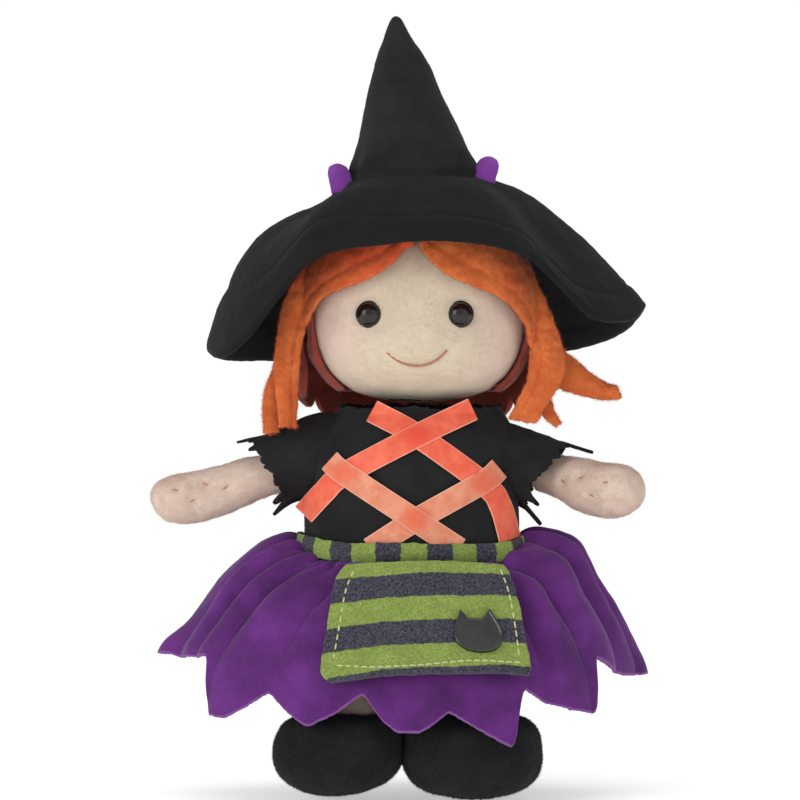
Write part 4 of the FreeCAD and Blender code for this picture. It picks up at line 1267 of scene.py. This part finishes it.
def arm(name, side, forward, droop, end, swell):
    """Plush mitten arm with stitched dimples; end is the length of its middle line."""
    along, across, over = arm_frame(side, forward, droop)
    root = np.array([side * SHOULDER[0], 0, SHOULDER[2]])
    profile = spline([(-6, 7.6), (0, 7.8), (0.15 * end, 8.3), (0.35 * end, 9.1), (end - 19, 9.7),
                      (end - 12, 9.9), (end - 7, 9.0), (end - 3, 6.7), (end - 0.7, 3.4), (end, 0.2)], 80)
    t = profile[:, 0, None]
    r = profile[:, 1, None] * (1 + (swell - 1) * np.clip(t / 12, 0, 1))
    turn = circle(84)
    sag = 1.4 * bell(t - end + 24, 15)
    rows = (root + along * t[..., None] + across * (r * np.cos(turn))[..., None]
            + over * (r * np.sin(turn) - sag)[..., None])
    made = grid("arm_plush_" + name, rows, closed=True, caps=True)
    dimples = [root + along * (end - back) - across * side * 8 * swell + over * high
               for back, high in ARM_DIMPLES]

    def sewn(p):
        near = np.min([np.linalg.norm(p - place, axis=1) for place in dimples], axis=0)
        return (near < 1.8) | ((p - root) @ along < 4)
    stuffed(made, 1.5, 14, 1.6, sewn)

    def shape(p):
        out = 0.7 * wobble(p, 9, 3 + side) + 0.3 * wobble(p, 3.5, 7 + side)
        for place in dimples:
            out -= 1.0 * bell(np.linalg.norm(p - place, axis=1), 2.2)
        return out
    push(made, shape)
    arm_stitches(name, places(made.data) / MM, dimples, root, along, over)
    dress(made, ARM_PLUSH, "cream_plush", "arm_" + name, "arm_" + name, "arm_stuffing_" + name)
    pile(made, "arm_" + name, 24000, 1.2, 0.14, ARM_PILE, 22 + side)


# a sleeve from the bodice to the cuff: x, z of its middle, half height, half depth (on the right side)
SLEEVE_PATHS = {
    "left": [(27, 90, 15, 14), (34, 90.5, 15.8, 14.5), (43, 89, 14, 13.6), (50, 87, 12, 12.6),
             (55.5, 85.5, 11.4, 12)],
    "right": [(27, 89, 14.5, 14), (34, 89, 15.2, 14.5), (41, 87.6, 13.8, 13.6), (47, 85.6, 12, 12.6),
              (51, 84.2, 11.4, 12)]}
SLEEVE_ROWS, SLEEVE_COLUMNS = 44, 160
# ragged points of a cuff: (column, reach, width)
CUFF_POINTS = {
    "left": [(41, 5.0, 2.2), (119, 6, 2.6), (104, 4, 2.2), (136, 3, 2), (60, 2.5, 2), (20, 2.5, 2)],
    "right": [(38, 12, 2.4), (118, 6.5, 2.4), (100, 3, 2.4), (137, 4, 2), (62, 3, 2), (20, 2.5, 2)]}


def sleeve(name, side):
    """Ragged black sleeve from the bodice to the cuff; the right one's end sits 2.5 mm forward, toward its
    arm's forward swing.
    """
    path = spline(SLEEVE_PATHS[name], SLEEVE_ROWS)
    forward = np.linspace(0, -2.5 if side > 0 else 0, SLEEVE_ROWS)
    centre = stack(path[:, 0] * side, forward, path[:, 1])
    ahead = unit(np.gradient(centre, axis=0))
    across = unit(np.cross((0, 0, 1), ahead))
    over = np.cross(ahead, across)
    columns = np.arange(SLEEVE_COLUMNS)
    turn = 2 * math.pi * columns / SLEEVE_COLUMNS
    jag = 1.6 * wobble(stack(columns * 0.9, side, 0), 6, 2) + 1.8 * wobble(stack(columns, 5, side), 2.2, 5)
    for column, reach, width in CUFF_POINTS[name]:
        jag = jag + reach * bell(columns - column, width)
    slope = 3.6 * np.sin(turn)
    share = np.linspace(0, 1, SLEEVE_ROWS)[:, None]
    grow = 0.9 * wobble(oval(turn, 12, 12, share * 24), 8, 9 + side)
    flare = 1.8 * share ** 5
    wide = (path[:, 3, None] + grow + flare) * np.cos(turn)
    tall = (path[:, 2, None] + grow + flare) * np.sin(turn)
    reach = share ** 4 * jag + share ** 2 * slope
    rows = centre[:, None] + across[:, None] * wide[..., None] + over[:, None] * tall[..., None]
    rows = rows + ahead[:, None] * reach[..., None]
    hang = np.clip(-np.sin(turn), 0, 1) * np.clip(jag, 0, 20)
    rows[..., 2] -= 0.9 * hang * share ** 4
    made = grid("sleeve_felt_" + name, rows, closed=True)
    thicken(made, 1.3, rounds=0)
    weather(made, 0.4, 0.2, 111 + side)
    paint(made, BLACK_FELT)
    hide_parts("sleeve_" + name)
    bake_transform(made)


# ---- legs ------------------------------------------------------------------------------------
def legs():
    """Plush legs and rounded plush boots."""
    turn = circle(48)
    for k, name in enumerate(("left", "right")):
        low, high = box_mm("leg_skin_" + name)
        middle = (low + high) / 2
        radius = (high.x - low.x) / 2
        levels = spline([(low.z - 1, radius * 0.9), (low.z + 4, radius), (middle.z, radius * 0.96),
                         (high.z - 3, radius * 0.98), (high.z - 0.6, radius * 0.7), (high.z, 0.3)], 40)
        z, r = levels[:, 0, None], levels[:, 1, None]
        rows = stack(middle.x + r * np.cos(turn), middle.y + r * np.sin(turn), z)
        leg = grid("leg_plush_" + name, rows, closed=True)
        weather(leg, 0.5, 0.2, 121 + k)
        dress(leg, BEIGE, "beige_plush", "leg_" + name, "leg_skin_" + name, "leg_stuffing_" + name)
        boot(name, k, middle)


BOOT_LEAN = {"left": 1.6, "right": -1.6}     # how far the top of a boot leans across


def boot(name, seed, ankle):
    """A stuffed boot: rounded sole and toe, and a soft crease at the ankle."""
    low, high = box_mm("boot_" + name)
    middle, half = (low + high) / 2, (high - low) / 2
    made, way = ball("boot_plush_" + name, 6)
    p = egg(way, (half.x + 0.6, half.y), half.z, half.z, np.where(way[:, 2] > 0, 4.2, 2.35))
    p[:, 0] += BOOT_LEAN[name] * (p[:, 2] / half.z) * np.where(p[:, 2] < 0, 0.2, 1.0)
    put(made.data, (p * 0.975 + np.array(middle)) * MM)

    def sewn(p):
        ring = np.hypot(p[:, 0] - ankle.x, p[:, 1] - ankle.y)
        return (ring < 11) & (p[:, 2] > middle.z)
    stuffed(made, 1.9, 14, 1.8, sewn)

    def shape(p):
        out = 0.8 * wobble(p, 14, 4 + seed) + 0.4 * wobble(p, 5, 9 + seed) - 0.3
        ring = np.hypot(p[:, 0] - ankle.x, p[:, 1] - ankle.y) - 10
        return out - 1.5 * bell(ring, 2.5) * (p[:, 2] > middle.z)
    push(made, shape)
    dress(made, BOOT, "black_plush", "leg_" + name, "boot_" + name, "boot_stuffing_" + name)
    pile(made, "leg_" + name, 26000, 1.2, 0.14, BLACK_PILE, 32 + seed, lift=0.9)


# ---- hidden cloth ------------------------------------------------------------------------------
def inner_cloth():
    """Neck and finger tube of woven lining."""
    turn = circle(72)
    low, high = box_mm("neck_tube")
    z = np.linspace(low.z, high.z, 16)[:, None]
    r = 12.3 + 0.4 * np.sin(9 * turn) + 0 * z
    neck = grid("neck_cloth", oval(turn, r, r, z), closed=True)
    thicken(neck, 1.2)
    dress(neck, LINING, "lining_cloth", "neck", "neck_tube")
    low, high = box_mm("finger_tube")
    profile = spline([(9.4, low.z), (9.4, (low.z + high.z) / 2), (9.2, high.z - 4), (7.5, high.z - 1.2),
                      (0.1, high.z - 0.4)], 40)
    r, z = profile[:, 0, None], profile[:, 1, None]
    finger = grid("finger_tube_cloth", oval(turn, r, r, z), closed=True)
    thicken(finger, 0.7)
    dress(finger, LINING, "lining_cloth", "head", "finger_tube")


# ---- stage ---------------------------------------------------------------------------------------
FLOOR_SIZE = 30                   # metres; wide enough to pass for a backdrop
FLOOR_DROP = 0.0015               # metres below the lowest point of the CAD
FLOOR_GLOW = 0.42
SKY_LIGHT = 0.62
AIM = (0, 0, 0.11)
# soft lamps: name, place in metres, size, power
LAMPS = [("key", (-1.2, -1.2, 0.6), 1.0, 8.5), ("fill", (0.9, -1.2, 0.5), 1.0, 1.2),
         ("top", (0, -0.3, 1.4), 1.2, 3.5)]


def stage_object(name, data, place, rotation):
    """A lamp or camera put in its place."""
    made = bpy.data.objects.new(name, data)
    made.location = place
    made.rotation_euler = rotation
    bpy.context.collection.objects.link(made)
    return made


def floor():
    """Pale floor just under the boots."""
    bpy.ops.mesh.primitive_plane_add(size=FLOOR_SIZE, location=(0, 0, cad_low[2] - FLOOR_DROP))
    made = bpy.context.object
    made.name = "floor"
    m = Nodes("floor", rough=0.9)
    colour = m.mix(m.noise(60, 2), linear(246, 246, 246), linear(250, 250, 250))
    made.data.materials.append(m.finish(colour))
    m.shader.inputs["Emission Color"].default_value = WHITE
    m.shader.inputs["Emission Strength"].default_value = FLOOR_GLOW


def sky():
    """Soft white light all round, with a plain white backdrop for the camera."""
    world = bpy.data.worlds.new("studio")
    bpy.context.scene.world = world
    world.use_nodes = True
    tree = world.node_tree
    light = tree.nodes["Background"]
    light.inputs["Color"].default_value = WHITE
    light.inputs["Strength"].default_value = SKY_LIGHT
    backdrop = tree.nodes.new("ShaderNodeBackground")
    backdrop.inputs["Color"].default_value = WHITE
    mix = tree.nodes.new("ShaderNodeMixShader")
    tree.links.new(tree.nodes.new("ShaderNodeLightPath").outputs["Is Camera Ray"], mix.inputs[0])
    tree.links.new(light.outputs[0], mix.inputs[1])
    tree.links.new(backdrop.outputs[0], mix.inputs[2])
    tree.links.new(mix.outputs[0], tree.nodes["World Output"].inputs["Surface"])


def stage():
    """Floor, soft lights and the camera."""
    floor()
    sky()
    for name, place, size, power in LAMPS:
        lamp = bpy.data.lights.new(name, "AREA")
        lamp.size = size
        lamp.energy = power
        aim = Vector(AIM) - Vector(place)
        stage_object(name, lamp, place, aim.to_track_quat("-Z", "Y").to_euler())
    camera = bpy.data.cameras.new("camera")
    camera.sensor_width = CAMERA_SENSOR
    camera.lens = CAMERA_SENSOR * CAMERA_DISTANCE / VIEW_WIDTH
    place = (CAMERA_MIDDLE[0] * MM, -CAMERA_DISTANCE * MM, CAMERA_MIDDLE[1] * MM)
    bpy.context.scene.camera = stage_object("camera", camera, place, (math.pi / 2, 0, 0))
    bpy.context.scene.view_settings.view_transform = "Standard"


stage()
head()
eyes()
smile()
hair()
hat_crown()
hat_brim()
hat_loops()
bodice()
ribbons()
belt()
glove_lining()
skirt()
apron()
for limb in ARMS:
    arm(*limb)
    sleeve(*limb[:2])
legs()
inner_cloth()
